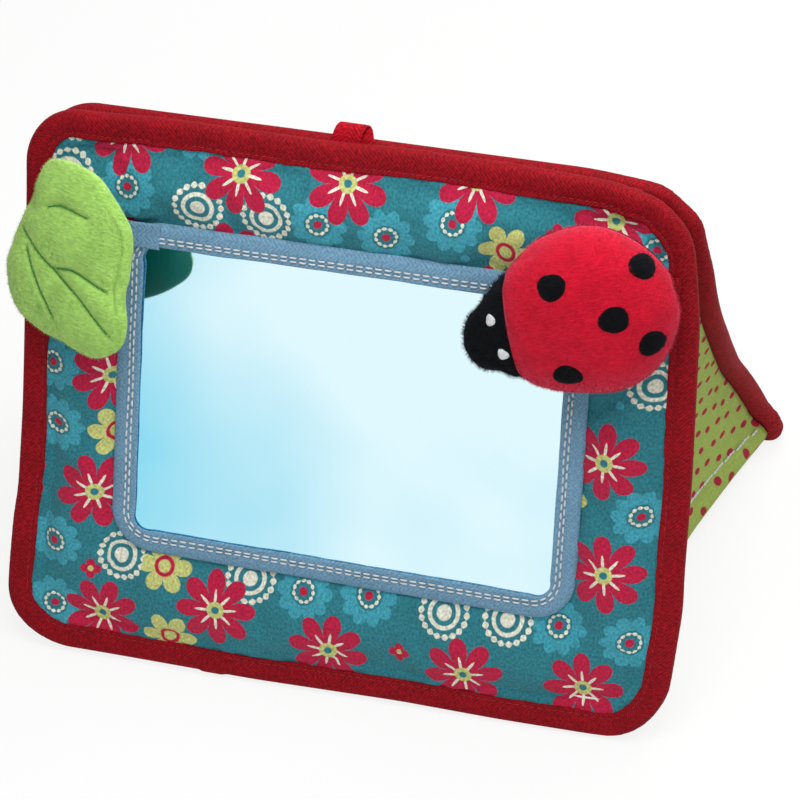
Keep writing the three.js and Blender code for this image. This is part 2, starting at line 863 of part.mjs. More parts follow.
// The ladybird's tab rises from the inner edge of the binding to the belly
ladybird.updateMatrix();
const ladybirdTabEnd = new THREE.Vector3(ladybirdTabReach, 0, strap / 2 - bellyDepth);
ladybirdTabEnd.applyMatrix4(ladybird.matrix);
const ladybirdHingeX = panelWidth / 2 - ladybirdHingeInset;
const ladybirdTabStart = new THREE.Vector3(ladybirdHingeX, ladybirdTabEnd.y, tabFoot);
const ladybirdTabMiddle = ladybirdTabStart.clone().lerp(ladybirdTabEnd, 1 / 2);
ladybirdTabMiddle.z += strap;
const ladybirdTabPath = [ladybirdTabStart, ladybirdTabMiddle, ladybirdTabEnd];
front.add(
  mesh(
    "ladybird_tab",
    ribbon(ladybirdTabPath, new THREE.Vector3(0, 1, 0), ladybirdTabWidth, strap),
    binding,
  ),
);

// The whole, with its footprint centred on the origin
const mirrorStand = new THREE.Group();
mirrorStand.add(
  front,
  back,
  mesh("gusset_right", gusset(1), limeCloth),
  mesh("gusset_left", gusset(-1), limeCloth),
);
const footprint = new THREE.Box3().setFromObject(mirrorStand, true);
mirrorStand.position.x = -(footprint.min.x + footprint.max.x) / 2;
mirrorStand.position.y = -(footprint.min.y + footprint.max.y) / 2;

export default mirrorStand;
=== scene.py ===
# Dresses the CAD frame of a fabric floor mirror for a baby: two bound and padded panels that stand as
# a tent, a mirror in a webbing frame, a plush leaf and a plush ladybird. Lengths are in metres.
import math
from collections import namedtuple

import bmesh
import bpy
import numpy as np
from mathutils import Matrix, Vector
from mathutils.bvhtree import BVHTree


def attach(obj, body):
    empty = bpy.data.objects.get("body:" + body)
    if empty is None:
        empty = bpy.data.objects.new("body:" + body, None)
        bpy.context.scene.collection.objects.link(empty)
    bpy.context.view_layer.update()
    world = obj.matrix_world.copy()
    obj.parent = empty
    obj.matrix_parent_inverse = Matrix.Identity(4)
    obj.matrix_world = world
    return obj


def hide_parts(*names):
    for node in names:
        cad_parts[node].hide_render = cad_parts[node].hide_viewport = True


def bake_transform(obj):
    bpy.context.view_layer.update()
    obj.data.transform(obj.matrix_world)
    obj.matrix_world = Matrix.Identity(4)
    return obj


bl_info = {
    "name": "Fabric floor mirror",
    "version": (1, 0, 0),
    "blender": (4, 5, 0),
    "location": "View3D > Sidebar > Floor mirror",
    "description": "Cloth, tape, plush and mirror pieces for a fabric floor mirror's CAD frame",
    "category": "Object",
}

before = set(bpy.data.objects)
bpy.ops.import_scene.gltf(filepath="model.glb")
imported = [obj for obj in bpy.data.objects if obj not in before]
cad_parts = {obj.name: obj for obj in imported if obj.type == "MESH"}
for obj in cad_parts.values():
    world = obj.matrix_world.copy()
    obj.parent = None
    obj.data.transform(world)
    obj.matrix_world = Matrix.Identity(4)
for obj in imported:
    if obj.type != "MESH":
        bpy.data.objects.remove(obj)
bpy.context.view_layer.update()

MM = 0.001
FLAT = "flat_place"

# A panel part's rounded outline, and the part with its body, its rim's drift and the function that places it
Outline = namedtuple("Outline", "width height radius base")
Panel = namedtuple("Panel", "body outline drift place")

TINY = 1e-12
NUDGE = 0.1 * MM

# The front panel's axes: along its width, up its slope and out of its face
LEAN = math.radians(20.5)
PANEL_FOOT = np.array((0.0, -94.536, 0.3455)) * MM
PANEL_SIDE = np.array((1.0, 0.0, 0.0))
PANEL_UP = np.array((0.0, math.sin(LEAN), math.cos(LEAN)))
PANEL_OUT = np.array((0.0, -math.cos(LEAN), math.sin(LEAN)))
PANEL = Outline(280 * MM, 239 * MM, 26 * MM, 0.0)
WEBBING_RIM = Outline(195.4 * MM, 146 * MM, 18 * MM, 47 * MM)

# The cloth ends inside the tape, this far above the floor
CLOTH_FOOT = 2 * MM

# How far up the webbing is sewn from its drawn place: low left, low right, high left, high right
WEBBING_LIFTS = (4.4 * MM, 1.7 * MM, 2.5 * MM, 3.4 * MM)

# Where the mirror film bows out, and how far
FILM_BOW = (-52.7 * MM, -32.1 * MM, 180.2 * MM)
FILM_BOW_REACH = 75 * MM

# Levels through a panel, from its middle outwards, and the lengths over which they change
COVER_FLOOR = 1.4 * MM
COVER_HEM = 2.4 * MM
BINDING_HALF = 3.6 * MM
BED_RISE = 0.6 * MM
CLOTH = 0.8 * MM
PUFF_LEAD = 4.5 * MM
PUCKER_START = 12 * MM
FILLING_LEVEL = 0.7 * MM
SHEET_INSET = 1.5 * MM
LINING_SAG = 1.8 * MM
LINING_SLOPE = 13 * MM

# How much of a cloth grid's spacing crowds towards its edges
EDGE_CROWDING = 0.35

# Cloth simulation
CLOTH_PRESSURE = 4
CLOTH_FRAMES = 20
CLOTH_QUALITY = 4
COTTON_SHRINK = -0.02

# Steps along the back panel's curve, along a rim whose drift is looked up, and across soft noise
CURVE_STEPS = 801
DRIFT_STEP = 2 * MM
DRIFT_BLUR = 13
LATTICE = 128

# The back panel's curve, from the ridge to the floor
RIDGE_GAP = 12.5 * MM
RIDGE_DROP = math.radians(-5)
RIDGE_HANDLE = 97 * MM
BACK_FOOT = np.array((0.0, 94.464, 0.2478)) * MM
FOOT_SPLAY = math.radians(18.3)
FOOT_HANDLE = 92 * MM
FOOT_FLARE = 5 / 140
BACK_SLOPE = 40 * MM

# How far each rim drifts outwards from its drawn line, in millimetres, at lengths round the rim from
# the middle of the lower edge to the right
FRONT_DRIFT = (
    (27, -0.6), (70, 0.3), (107, 0.2), (116, 0), (128, -1.6), (143, -2.9), (155, -1.2), (190, 1.5),
    (204, 0.9), (246, 0.9), (313, -1), (335, -3.9), (348, -6.2), (365, -7.2), (379, -5), (396, -0.8),
    (439, 0.8), (482, 0.9), (510, -0.5), (580, -0.3), (611, -2), (626, -0.4), (665, -1.4), (734, -2),
    (759, -2), (796, -0.9), (806, 0.7), (832, 2.2), (846, 2.4), (869, -0.9), (881, -0.9), (903, -0.7),
    (959, 0.2),
)
BACK_DRIFT = (
    (0, 0), (114, 0), (134, 8), (158, 0.5), (200, 0.6), (340, -1), (366, -4), (387, -4), (500, -3),
    (590, -2.5), (615, -5), (635, -9), (656, -6), (680, -3), (740, -2.7), (790, -4.5), (830, -1), (852, 1),
    (866, 14), (878, 7), (898, 0),
)
# The drift holds fully this near the rim, and ends this far inside it; the tape's lap lies this far
# before the middle of the lower edge
DRIFT_FULL = 12 * MM
DRIFT_NONE = 26 * MM
LAP_PLACE = 57 * MM

# The tape's lap and how much it thickens the tape, the gathers round its corners, and its unevenness
LAP_LENGTH = 10 * MM
LAP_RISE = 0.16
GATHER_PITCH = 3.4 * MM
TAPE_UNEVENNESS = 0.05

# A stitch's sections along it, as shares of its length and of its thickness, and the points round each
STITCH_SHARES = np.array((0.0, 0.12, 0.32, 0.5, 0.68, 0.88, 1.0))
STITCH_WIDTHS = np.array((0.35, 0.8, 1.0, 1.0, 1.0, 0.8, 0.35))
STITCH_SPOKES = 6

# A ribbon's step along its path, how often that path is smoothed, and half of its section
RIBBON_STEP = 0.8 * MM
RIBBON_SMOOTHINGS = 6
RIBBON_HALF = (
    (-0.5, 0), (-0.48, 0.4), (-0.4, 0.5), (-0.2, 0.5), (0, 0.5), (0.2, 0.5), (0.4, 0.5), (0.48, 0.4),
)

# The webbing's two rows of stitches: how far inside its outer edge, and the seed of their unevenness
WEBBING_ROWS = (("outer", 6.1 * MM, 41), ("inner", 7.7 * MM, 42))

# The gussets: their grid, how far they lie from the rim inwards, from the panel's middle, below the
# ridge and above the foot, the depth of their fold, and their lowest height
GUSSET_GRID = (90, 70)
GUSSET_INSET = 7.5 * MM
GUSSET_BEHIND = 0.8 * MM
GUSSET_FLOOR = 0.5 * MM
GUSSET_DROP = 16 * MM
GUSSET_RISE = 0.4 * MM
GUSSET_FOLD = 13 * MM
GUSSET_TURN = 6 * MM
GUSSET_SWAY = 0.12
GUSSET_RUMPLE = 1.2 * MM

# The hem's stitches: where they start and end across the gusset, how many they are, how far up they run
# as a share of the gusset's height, and how much farther at the front panel
HEM_ENDS = (0.05, 0.97)
HEM_STITCHES = 64
HEM_RISE = 0.085
HEM_SLANT = 0.14
HEM_SLANT_POWER = 1.3

# Printing and weaving: the soft edge of ink, the edge and softness of round dots, the range that noise
# mostly fills, and the size and depth of a twill's unevenness
INK_EDGE = 0.2 * MM
DOT_EDGE = 0.975
DOT_SOFTNESS = 1.6 * MM
NOISE_RANGE = (0.3, 0.7)
RIB_GRAIN = 3 * MM
RIB_DRIFT = 0.8
COTTON_GLOSS = {"Roughness": 0.9, "IOR": 1.47, "Specular IOR Level": 0.3}

# Tufts of pile: how far they stray from the lay, the range of their lengths and the depth of their
# roots as shares of the pile's length, and their three-cornered foot
PILE_STRAY = 0.35
PILE_LENGTHS = (0.6, 1.1)
PILE_ROOT = 0.25
PILE_FOOT = ((1, 0), (-0.5, -0.87), (-0.5, 0.87))

# The leaf: its place, tilt, half length, seam, the depths and reaches of the dents along its veins, its
# radius at equal angles as shares of its half length, and its stitched veins
LEAF_PLACE = np.array((-112.0, 181.0, 21.5)) * MM
LEAF_TILT = math.radians(20)
LEAF_HALF = 41.5 * MM
LEAF_SEAM = 1.1 * MM
VEIN_DENTS = ((1.3 * MM, 1.2 * MM), (0.7 * MM, 4 * MM))
LEAF_SHARES = (
    0.69, 0.72, 0.79, 0.86, 0.88, 0.92, 0.98, 1.0, 1.02, 1.01, 0.87, 0.74, 0.7, 0.69, 0.7,
    0.73, 0.8, 0.85, 0.9, 0.92, 0.89, 0.87, 0.86, 0.91, 0.97, 0.97, 0.94, 0.84, 0.72, 0.67,
)
VEINS = {
    "leaf_midrib": ((-0.56, 0.21), (-0.14, -0.08), (0.19, -0.31), (0.5, -0.62)),
    "leaf_vein_1": ((-0.1, -0.06), (0.14, -0.04), (0.47, -0.17)),
    "leaf_vein_2": ((-0.24, 0.53), (-0.06, 0.58), (0.23, 0.53)),
    "leaf_vein_3": ((-0.49, 0.05), (-0.36, -0.21), (-0.16, -0.59)),
}

# The row of stitching inside the leaf's edge: its distance from the edge, depth and reach, and the angle
# that it lies round and how far it runs to each side
LEAF_ROW = 4.5 * MM
LEAF_ROW_DEPTH = 1.1 * MM
LEAF_ROW_REACH = 0.9 * MM
LEAF_ROW_ANGLE = 0.15
LEAF_ROW_SPREAD = 0.75

# The ladybird, along its own axes: from nose to tail, across, and out of the panel
LADYBIRD_PLACE = np.array((95.0, 190.0, 18.0)) * MM
LADYBIRD_TURN = math.radians(19.8)
WIDEST = 5 * MM
NOSE = 55 * MM
TAIL = 35 * MM
HALF_WIDTH = 33.5 * MM
DOME = 22 * MM
BELLY = 8.5 * MM
NOSE_TAPER = 1.75
TAIL_TAPER = 1.2
NOSE_BLUNTING = 0.6
NOSE_BEND = -5 * MM
FLANK_POWER = 0.85
HEAD_SEAM = -27.1 * MM
HEAD_SEAM_TILT = 0.09
HEAD_SEAM_REACH = 2.6 * MM
HEAD_SEAM_PULL = 0.07
PLUSH_LUMPS = 0.025
SPOTS = ((-0.23, 0.52), (0.76, 0.47), (0.37, 0.0), (-0.35, -0.58), (0.66, -0.43))
EYES = ((-1.08, 0.27), (-1.04, -0.15))


def linear(hex_colour):
    """An sRGB hex colour as the linear values that Blender takes"""
    shares = [int(hex_colour[k : k + 2], 16) / 255 for k in (0, 2, 4)]
    return [s / 12.92 if s <= 0.04045 else ((s + 0.055) / 1.055) ** 2.4 for s in shares] + [1.0]


def length_property(name, description, default):
    return bpy.props.FloatProperty(
        name=name, description=description, default=default, min=0, subtype="DISTANCE", unit="LENGTH",
        precision=5,
    )


def colour_property(name, description, hex_colour):
    return bpy.props.FloatVectorProperty(
        name=name, description=description, default=linear(hex_colour), size=4, min=0, max=1,
        subtype="COLOR",
    )


class FLOORMIRROR_PG_sizes(bpy.types.PropertyGroup):
    tape_face: length_property("Tape face", "Width of the red tape on each face of a panel", 10.8 * MM)
    rib_pitch: length_property("Tape rib", "Distance between the tape's ribs", 1.7 * MM)
    front_puff: length_property("Front puff", "How far the front cloth swells round the mirror", 5.5 * MM)
    back_puff: length_property("Back puff", "How far the back cloth swells", 5 * MM)
    webbing_face: length_property("Webbing face", "Width of the webbing round the mirror", 10.4 * MM)
    stitch_length: length_property("Stitch", "Length of one stitch on the webbing", 3.1 * MM)
    stitch_pitch: length_property("Stitch pitch", "Distance between stitches on the webbing", 3.9 * MM)
    thread_radius: length_property("Thread radius", "Half the thickness of the sewing thread", 0.4 * MM)
    motif_spacing: length_property("Motif spacing", "Distance between the large printed motifs", 50 * MM)
    dot_spacing: length_property("Dot spacing", "Distance between the dots on the lime cloth", 11.5 * MM)
    leaf_puff: length_property("Leaf puff", "Height of the leaf's plush face above its seam", 6 * MM)
    leaf_under: length_property("Leaf underside", "Depth of the leaf's satin side", 3.2 * MM)
    leaf_pile: length_property("Leaf pile", "Length of the leaf's pile", 1.2 * MM)
    red_pile: length_property("Red pile", "Length of the ladybird's red pile", 1.3 * MM)
    black_pile: length_property("Black pile", "Length of the pile on the ladybird's head", 2 * MM)
    spot_radius: length_property("Spot radius", "Half the width of a ladybird's spot", 5.3 * MM)
    eye_radius: length_property("Eye radius", "Half the width of a stitched eye", 2.4 * MM)


class FLOORMIRROR_PG_colours(bpy.types.PropertyGroup):
    # Painted light: the loop is the binding's tape, drawn brighter for the light that the raised loop catches
    loop: colour_property("Loop tape", "Red tape of the hanging loop, a brighter dye lot", "a80a1c")
    tape: colour_property("Tape", "Red twill tape", "860614")
    ground: colour_property("Ground", "Ground of the printed cotton", "2a7783")
    blossom: colour_property("Daisy", "Large daisies of the print", "b5173f")
    meadow: colour_property("Meadow", "Yellow-green flowers of the print", "c2c678")
    pale: colour_property("Pale teal", "Pale teal motifs of the print", "3d98aa")
    cream: colour_property("Cream", "Cream rings and centres of the print", "dcdccb")
    lime: colour_property("Lime cotton", "Ground of the lime cotton", "97ab52")
    dot: colour_property("Dots", "Dots on the lime cotton", "9c1733")
    webbing: colour_property("Webbing", "Light blue webbing", "6e96b1")
    thread: colour_property("White thread", "Thread on the webbing and the eyes", "d2d8da")
    # Painted shadow: this grey thread stands for the shade between the white stitches on the webbing
    painted_stitch_shadow: colour_property("Shaded thread", "Twisted thread between the white stitches", "77858f")
    # Painted sheen: the leaf's sheen colour tints its sheen and is painted into its colour where it is seen
    # edge on
    leaf: colour_property("Leaf plush", "Lime plush of the leaf", "a5d26c")
    leaf_sheen: colour_property("Leaf bloom", "Leaf pile that is seen edge on", "d3e4a6")
    satin: colour_property("Leaf satin", "Dark green satin of the leaf's underside", "13745b")
    vein: colour_property("Leaf veins", "Green thread of the leaf's veins", "28883c")
    red: colour_property("Red plush", "Plush of the ladybird's back", "c3152e")
    # Painted sheen: the red sheen colour tints the sheen and is painted into the red plush where it is seen
    # edge on
    red_sheen: colour_property("Red bloom", "Red pile that is seen edge on", "f2607c")
    black: colour_property("Black plush", "Plush of the head and the spots", "0b0c0f")
    # Painted sheen: the black sheen colour tints the sheen and is painted into the black plush where it is
    # seen edge on
    black_sheen: colour_property("Black bloom", "Black pile that is seen edge on", "30343c")
    film: colour_property("Mirror film", "Tint of the mirror film", "e0f9ff")
    # Painted reflection: the mirror film turns to this deeper cyan towards its lower left
    painted_reflection_tint: colour_property("Film shade", "Tint where the mirror film is deepest", "8fdcf2")
    wadding: colour_property("Wadding", "Polyester wadding", "f2f1ec")
    board: colour_property("Stiffener", "Board behind the mirror", "d6cdb6")
    floor: colour_property("Floor", "Floor and backdrop", "f4f4f3")


def values(context):
    """The sizes and the colours that the pieces take"""
    return context.scene.floor_mirror_sizes, context.scene.floor_mirror_colours


# Mesh helpers


def on_panel(x, v, n):
    """Places on the front panel, from its width, slope and face directions"""
    x, v, n = (np.asarray(a, float)[..., None] for a in np.broadcast_arrays(x, v, n))
    return PANEL_FOOT + x * PANEL_SIDE + v * PANEL_UP + n * PANEL_OUT


def webbing_lift(x, v):
    """How far up the panel the webbing is sewn from its drawn place"""
    across = np.clip(x / WEBBING_RIM.width + 0.5, 0, 1)
    rise = np.clip((v - WEBBING_RIM.base) / WEBBING_RIM.height, 0, 1)
    low_left, low_right, high_left, high_right = WEBBING_LIFTS
    low = low_left + (low_right - low_left) * across
    high = high_left + (high_right - high_left) * across
    return low + (high - low) * rise


def on_webbing(x, v, n):
    """Places on the front panel that move with the webbing's lift"""
    return on_panel(x, v + webbing_lift(np.asarray(x, float), v), n)


def webbing_depth(outline, x, v):
    """How far inside the webbing's outline, as it is sewn, a place on the panel lies"""
    return depth_inside(outline, x, v - webbing_lift(x, v))


def bezier(points, t):
    a, b, c, d = points
    t = t[:, None]
    return (1 - t) ** 3 * a + 3 * (1 - t) ** 2 * t * b + 3 * (1 - t) * t**2 * c + t**3 * d


def run_lengths(line):
    """How far along a line each of its points lies"""
    return np.concatenate(([0], np.cumsum(np.linalg.norm(np.diff(line, axis=0), axis=1))))


def back_curve():
    """The back panel's middle line: its places, directions and lengths from the ridge down"""
    ridge = PANEL_FOOT + PANEL.height * PANEL_UP - RIDGE_GAP * PANEL_OUT
    fall = np.array((0.0, math.sin(RIDGE_DROP), -math.cos(RIDGE_DROP)))
    rise = np.array((0.0, -math.sin(FOOT_SPLAY), math.cos(FOOT_SPLAY)))
    knots = (ridge, ridge + RIDGE_HANDLE * fall, BACK_FOOT + FOOT_HANDLE * rise, BACK_FOOT)
    line = bezier(knots, np.linspace(0, 1, CURVE_STEPS))
    lengths = run_lengths(line)
    return line, np.gradient(line, lengths, axis=0), lengths


BACK_LINE, BACK_TANGENTS, BACK_LENGTHS = back_curve()
BACK_PANEL = Outline(PANEL.width, float(BACK_LENGTHS[-1]), PANEL.radius, 0.0)


def on_back(x, v, n):
    """Places on the back panel, which someone behind it sees with x to the right"""
    x, v, n = np.broadcast_arrays(*(np.asarray(a, float) for a in (x, v, n)))
    run = BACK_PANEL.height - v
    down = np.clip(run / BACK_PANEL.height, 0, 1)
    along = np.clip(run, 0, BACK_PANEL.height)
    place = [np.interp(along, BACK_LENGTHS, BACK_LINE[:, k]) for k in (1, 2)]
    tangent = [np.interp(along, BACK_LENGTHS, BACK_TANGENTS[:, k]) for k in (1, 2)]
    past = run - along
    return np.stack(
        (
            -x * (1 + FOOT_FLARE * down**2),
            place[0] + past * tangent[0] - n * tangent[1],
            place[1] + past * tangent[1] + n * tangent[0],
        ),
        axis=-1,
    )


def on_leaf(x, y, z):
    """Places in the leaf's own axes, which tilt up from the panel's left edge"""
    x, y, z = np.broadcast_arrays(*(np.asarray(a, float) for a in (x, y, z)))
    side = LEAF_PLACE[0] + x * math.cos(LEAF_TILT) - z * math.sin(LEAF_TILT)
    out = LEAF_PLACE[2] + x * math.sin(LEAF_TILT) + z * math.cos(LEAF_TILT)
    return on_panel(side, LEAF_PLACE[1] + y, out)


def on_ladybird(x, y, z):
    """Places in the ladybird's own axes, turned on the panel's face"""
    x, y, z = np.broadcast_arrays(*(np.asarray(a, float) for a in (x, y, z)))
    c, s = math.cos(LADYBIRD_TURN), math.sin(LADYBIRD_TURN)
    across, up, out = LADYBIRD_PLACE
    return on_panel(across + c * x - s * y, up + s * x + c * y, out + z)


FRONT = Panel("front", PANEL, FRONT_DRIFT, on_panel)
WEBBING = Panel("front", WEBBING_RIM, None, on_webbing)
BACK = Panel("back", BACK_PANEL, BACK_DRIFT, on_back)


def smooth(share):
    share = np.clip(share, 0, 1)
    return share * share * (3 - 2 * share)


def soft_noise(x, y, size, seed):
    """Smooth bumps from -1 to 1, about size apart"""
    lattice = np.random.default_rng(seed).uniform(-1, 1, (LATTICE, LATTICE))
    i, j = np.floor(x / size).astype(int), np.floor(y / size).astype(int)
    s, t = smooth(x / size - i), smooth(y / size - j)
    shifts = ((0, 0), (1, 0), (0, 1), (1, 1))
    corner = [lattice[(i + a) % LATTICE, (j + b) % LATTICE] for a, b in shifts]
    low = corner[0] * (1 - s) + corner[1] * s
    high = corner[2] * (1 - s) + corner[3] * s
    return low * (1 - t) + high * t


def half_width(outline, rise):
    """Half an outline's width at a height above its base"""
    into = np.maximum(np.maximum(outline.radius - rise, outline.radius - (outline.height - rise)), 0)
    return outline.width / 2 - outline.radius + np.sqrt(np.maximum(outline.radius**2 - into**2, 0))


def depth_inside(outline, x, v):
    """How far inside an outline's edge a place lies"""
    over_x = np.abs(x) - (outline.width / 2 - outline.radius)
    over_v = np.abs(v - outline.base - outline.height / 2) - (outline.height / 2 - outline.radius)
    beyond = np.hypot(np.maximum(over_x, 0), np.maximum(over_v, 0))
    return outline.radius - beyond - np.minimum(np.maximum(over_x, over_v), 0)


def inset(outline, by):
    return Outline(outline.width - 2 * by, outline.height - 2 * by, outline.radius - by, outline.base + by)


def rim_length(outline):
    return 2 * (outline.width + outline.height) - (8 - 2 * math.pi) * outline.radius


def rim(outline, step, start=0.0):
    """Places, outward directions and lengths round a rounded rectangle, from its lower middle"""
    right, radius = outline.width / 2 - outline.radius, outline.radius
    low, high = outline.base + radius, outline.base + outline.height - radius
    straight_v, straight_x, quarter = high - low, 2 * right, radius * math.pi / 2
    total = rim_length(outline)
    lengths = np.arange(round(total / step)) * total / round(total / step)
    s = (lengths + start) % total
    marks = np.cumsum((0, right, quarter, straight_v, quarter, straight_x, quarter, straight_v, quarter))
    corners = ((right, low, -90), (right, high, 0), (-right, high, 90), (-right, low, 180))
    x, v, angle = s.copy(), np.full_like(s, outline.base), np.full_like(s, -math.pi / 2)
    for k, (cx, cv, first) in enumerate(corners):
        in_corner = (s >= marks[1 + 2 * k]) & (s < marks[2 + 2 * k])
        turn = math.radians(first) + (s - marks[1 + 2 * k]) / radius
        x = np.where(in_corner, cx + radius * np.cos(turn), x)
        v = np.where(in_corner, cv + radius * np.sin(turn), v)
        angle = np.where(in_corner, turn, angle)
        run_end = marks[3 + 2 * k] if k < 3 else total
        in_run = (s >= marks[2 + 2 * k]) & (s < run_end)
        end = math.radians(first + 90)
        run = s - marks[2 + 2 * k]
        x = np.where(in_run, cx + radius * math.cos(end) - run * math.sin(end), x)
        v = np.where(in_run, cv + radius * math.sin(end) + run * math.cos(end), v)
        angle = np.where(in_run, end, angle)
    return x, v, np.cos(angle), np.sin(angle), lengths


def drifted(panel, x, v):
    """Moves places near a panel's rim with the rim's hand-sewn drift"""
    outline = panel.outline
    rim_x, rim_v, out_x, out_v, lengths = rim(outline, DRIFT_STEP)
    total = rim_length(outline)
    at, by = np.array(panel.drift).T * MM
    drift = np.interp(lengths, at, by, period=total)
    window, reach = np.hanning(DRIFT_BLUR), DRIFT_BLUR // 2
    wrapped = np.concatenate((drift[-reach:], drift, drift[:reach]))
    drift = np.convolve(wrapped, window / window.sum(), "valid")
    shape = np.shape(x)
    x, v = np.ravel(x), np.ravel(v)
    moved_x, moved_v = x.copy(), v.copy()
    weight = smooth(1 - (depth_inside(outline, x, v) - DRIFT_FULL) / (DRIFT_NONE - DRIFT_FULL))
    for k in np.array_split(np.flatnonzero(weight > 0), 20):
        far = (x[k, None] - rim_x) ** 2 + (v[k, None] - rim_v) ** 2
        near = np.argmin(far, axis=1)
        moved_x[k] += weight[k] * drift[near] * out_x[near]
        moved_v[k] += weight[k] * drift[near] * out_v[near]
    return moved_x.reshape(shape), moved_v.reshape(shape)


def grid_faces(rows, columns, round_rows=False, round_columns=False):
    """Faces of a grid of points, closed over its rows or columns where asked"""
    faces = []
    for j in range(rows if round_rows else rows - 1):
        for i in range(columns if round_columns else columns - 1):
            below, right = (j + 1) % rows, (i + 1) % columns
            row, under = j * columns, below * columns
            faces.append((row + i, row + right, under + right, under + i))
    return faces


def make_mesh(name, points, faces, flat=None):
    """A smooth mesh that also keeps each point's place on the flat cloth"""
    mesh = bpy.data.meshes.new(name)
    mesh.from_pydata(np.reshape(points, (-1, 3)).tolist(), [], faces)
    mesh.shade_smooth()
    if flat is not None:
        layer = mesh.attributes.new(FLAT, "FLOAT_VECTOR", "POINT")
        layer.data.foreach_set("vector", np.ravel(flat).astype(np.float32))
    mesh.update()
    return mesh


def make_piece(name, mesh, look, body, stands_for):
    """A piece of the part, on its body, in place of the CAD nodes that it stands for"""
    piece = bpy.data.objects.new(name, mesh)
    bpy.context.scene.collection.objects.link(piece)
    mesh.materials.append(look)
    if body:
        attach(piece, body)
    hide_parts(*stands_for)
    return piece


def face_outwards(mesh):
    shape = bmesh.new()
    shape.from_mesh(mesh)
    bmesh.ops.recalc_face_normals(shape, faces=shape.faces)
    shape.to_mesh(mesh)
    shape.free()


def thicken(piece, thickness, offset=-1):
    solid = piece.modifiers.new("Thickness", "SOLIDIFY")
    solid.thickness = thickness
    solid.offset = offset
    solid.use_even_offset = False


def subdivide(piece):
    finer = piece.modifiers.new("Fine", "SUBSURF")
    finer.levels = finer.render_levels = 1


def points_of(mesh):
    points = np.empty(len(mesh.vertices) * 3)
    mesh.vertices.foreach_get("co", points)
    return points.reshape(-1, 3)


def inflate(mesh, limit, held=None, shrink=0.0, point_mass=0.05):
    """Blows a padded shape up with Cloth and keeps each point within limit of its start"""
    scene = bpy.context.scene
    blown = bpy.data.objects.new("blown", mesh.copy())
    scene.collection.objects.link(blown)
    if held is not None:
        group = blown.vertex_groups.new(name="held")
        group.add(np.flatnonzero(held).tolist(), 1.0, "REPLACE")
    cloth = blown.modifiers.new("Inflate", "CLOTH")
    cloth.settings.quality = CLOTH_QUALITY
    cloth.settings.mass = point_mass
    cloth.settings.use_pressure = True
    cloth.settings.uniform_pressure_force = CLOTH_PRESSURE
    cloth.settings.shrink_min = shrink
    cloth.settings.effector_weights.gravity = 0
    cloth.collision_settings.use_collision = False
    cloth.point_cache.frame_start = 1
    cloth.point_cache.frame_end = CLOTH_FRAMES
    if held is not None:
        cloth.settings.vertex_group_mass = group.name
    for step in range(1, CLOTH_FRAMES + 1):
        scene.frame_set(step)
    settled = blown.evaluated_get(bpy.context.evaluated_depsgraph_get())
    start = points_of(mesh)
    moved = points_of(settled.data) - start
    far = np.linalg.norm(moved, axis=1, keepdims=True)
    moved *= np.minimum(1, limit / np.maximum(far, TINY))
    mesh.vertices.foreach_set("co", np.ravel(start + moved))
    mesh.update()
    bpy.data.objects.remove(blown)
    scene.frame_set(1)


# Material helpers


def add_node(tree, kind, *values, named=None, out=(0,), **settings):
    """Adds a node with its settings, gives its inputs values or links, and returns the outputs asked for"""
    node = tree.nodes.new("ShaderNode" + kind)
    for key, value in settings.items():
        setattr(node, key, value)
    for key, value in (*enumerate(values), *(named or {}).items()):
        if isinstance(value, bpy.types.NodeSocket):
            tree.links.new(value, node.inputs[key])
        else:
            node.inputs[key].default_value = value
    sockets = [node.outputs[key] for key in out]
    return sockets[0] if len(sockets) == 1 else sockets


def start_material(name, on_cloth=True):
    """A material, its tree, and the place that its patterns follow: on the flat cloth, or in the object"""
    look = bpy.data.materials.new(name)
    look.use_nodes = True
    tree = look.node_tree
    tree.nodes.clear()
    if on_cloth:
        return look, tree, add_node(tree, "Attribute", out=("Vector",), attribute_name=FLAT)
    return look, tree, add_node(tree, "TexCoord", out=("Object",))


def end_material(tree, colour, bumps, gloss):
    """Gives the surface its colour, its bumps, each a height, a strength and a depth, and its gloss"""
    surface = {"Base Color": colour, **gloss}
    for height, strength, depth in bumps:
        under = {"Normal": surface["Normal"]} if "Normal" in surface else {}
        surface["Normal"] = add_node(
            tree, "Bump", named={"Height": height, "Strength": strength, "Distance": depth, **under}
        )
    add_node(tree, "OutputMaterial", add_node(tree, "BsdfPrincipled", named=surface), out=())


def wave(tree, length, pitch):
    """A sine wave that repeats each pitch"""
    turn = add_node(tree, "Math", length, 2 * math.pi / pitch, operation="MULTIPLY")
    return add_node(tree, "Math", turn, operation="SINE")


def threads(tree, place, pitch_x, pitch_y):
    """Height of a plain weave, from its two sets of threads"""
    x, y = add_node(tree, "SeparateXYZ", place, out=("X", "Y"))
    return add_node(tree, "Math", wave(tree, x, pitch_x), wave(tree, y, pitch_y), operation="MULTIPLY")


def herringbone(tree, place, pitch, band):
    """Height of a twill whose slanting ribs turn back at each band's edge, a little unevenly"""
    x, y = add_node(tree, "SeparateXYZ", place, out=("X", "Y"))
    zigzag = add_node(tree, "Math", y, band, operation="PINGPONG")
    grain = fine_noise(tree, place, RIB_GRAIN)
    along = add_node(tree, "Math", grain, RIB_DRIFT * pitch, x, operation="MULTIPLY_ADD")
    return wave(tree, add_node(tree, "Math", along, zigzag, operation="ADD"), pitch)


def fine_noise(tree, place, size, detail=2.0, stretch=(1, 1, 1)):
    """Noise of a grain size, drawn out along the axes that are stretched less than 1"""
    spread = add_node(tree, "VectorMath", place, stretch, operation="MULTIPLY")
    return add_node(tree, "TexNoise", named={"Vector": spread, "Scale": 1 / size, "Detail": detail})


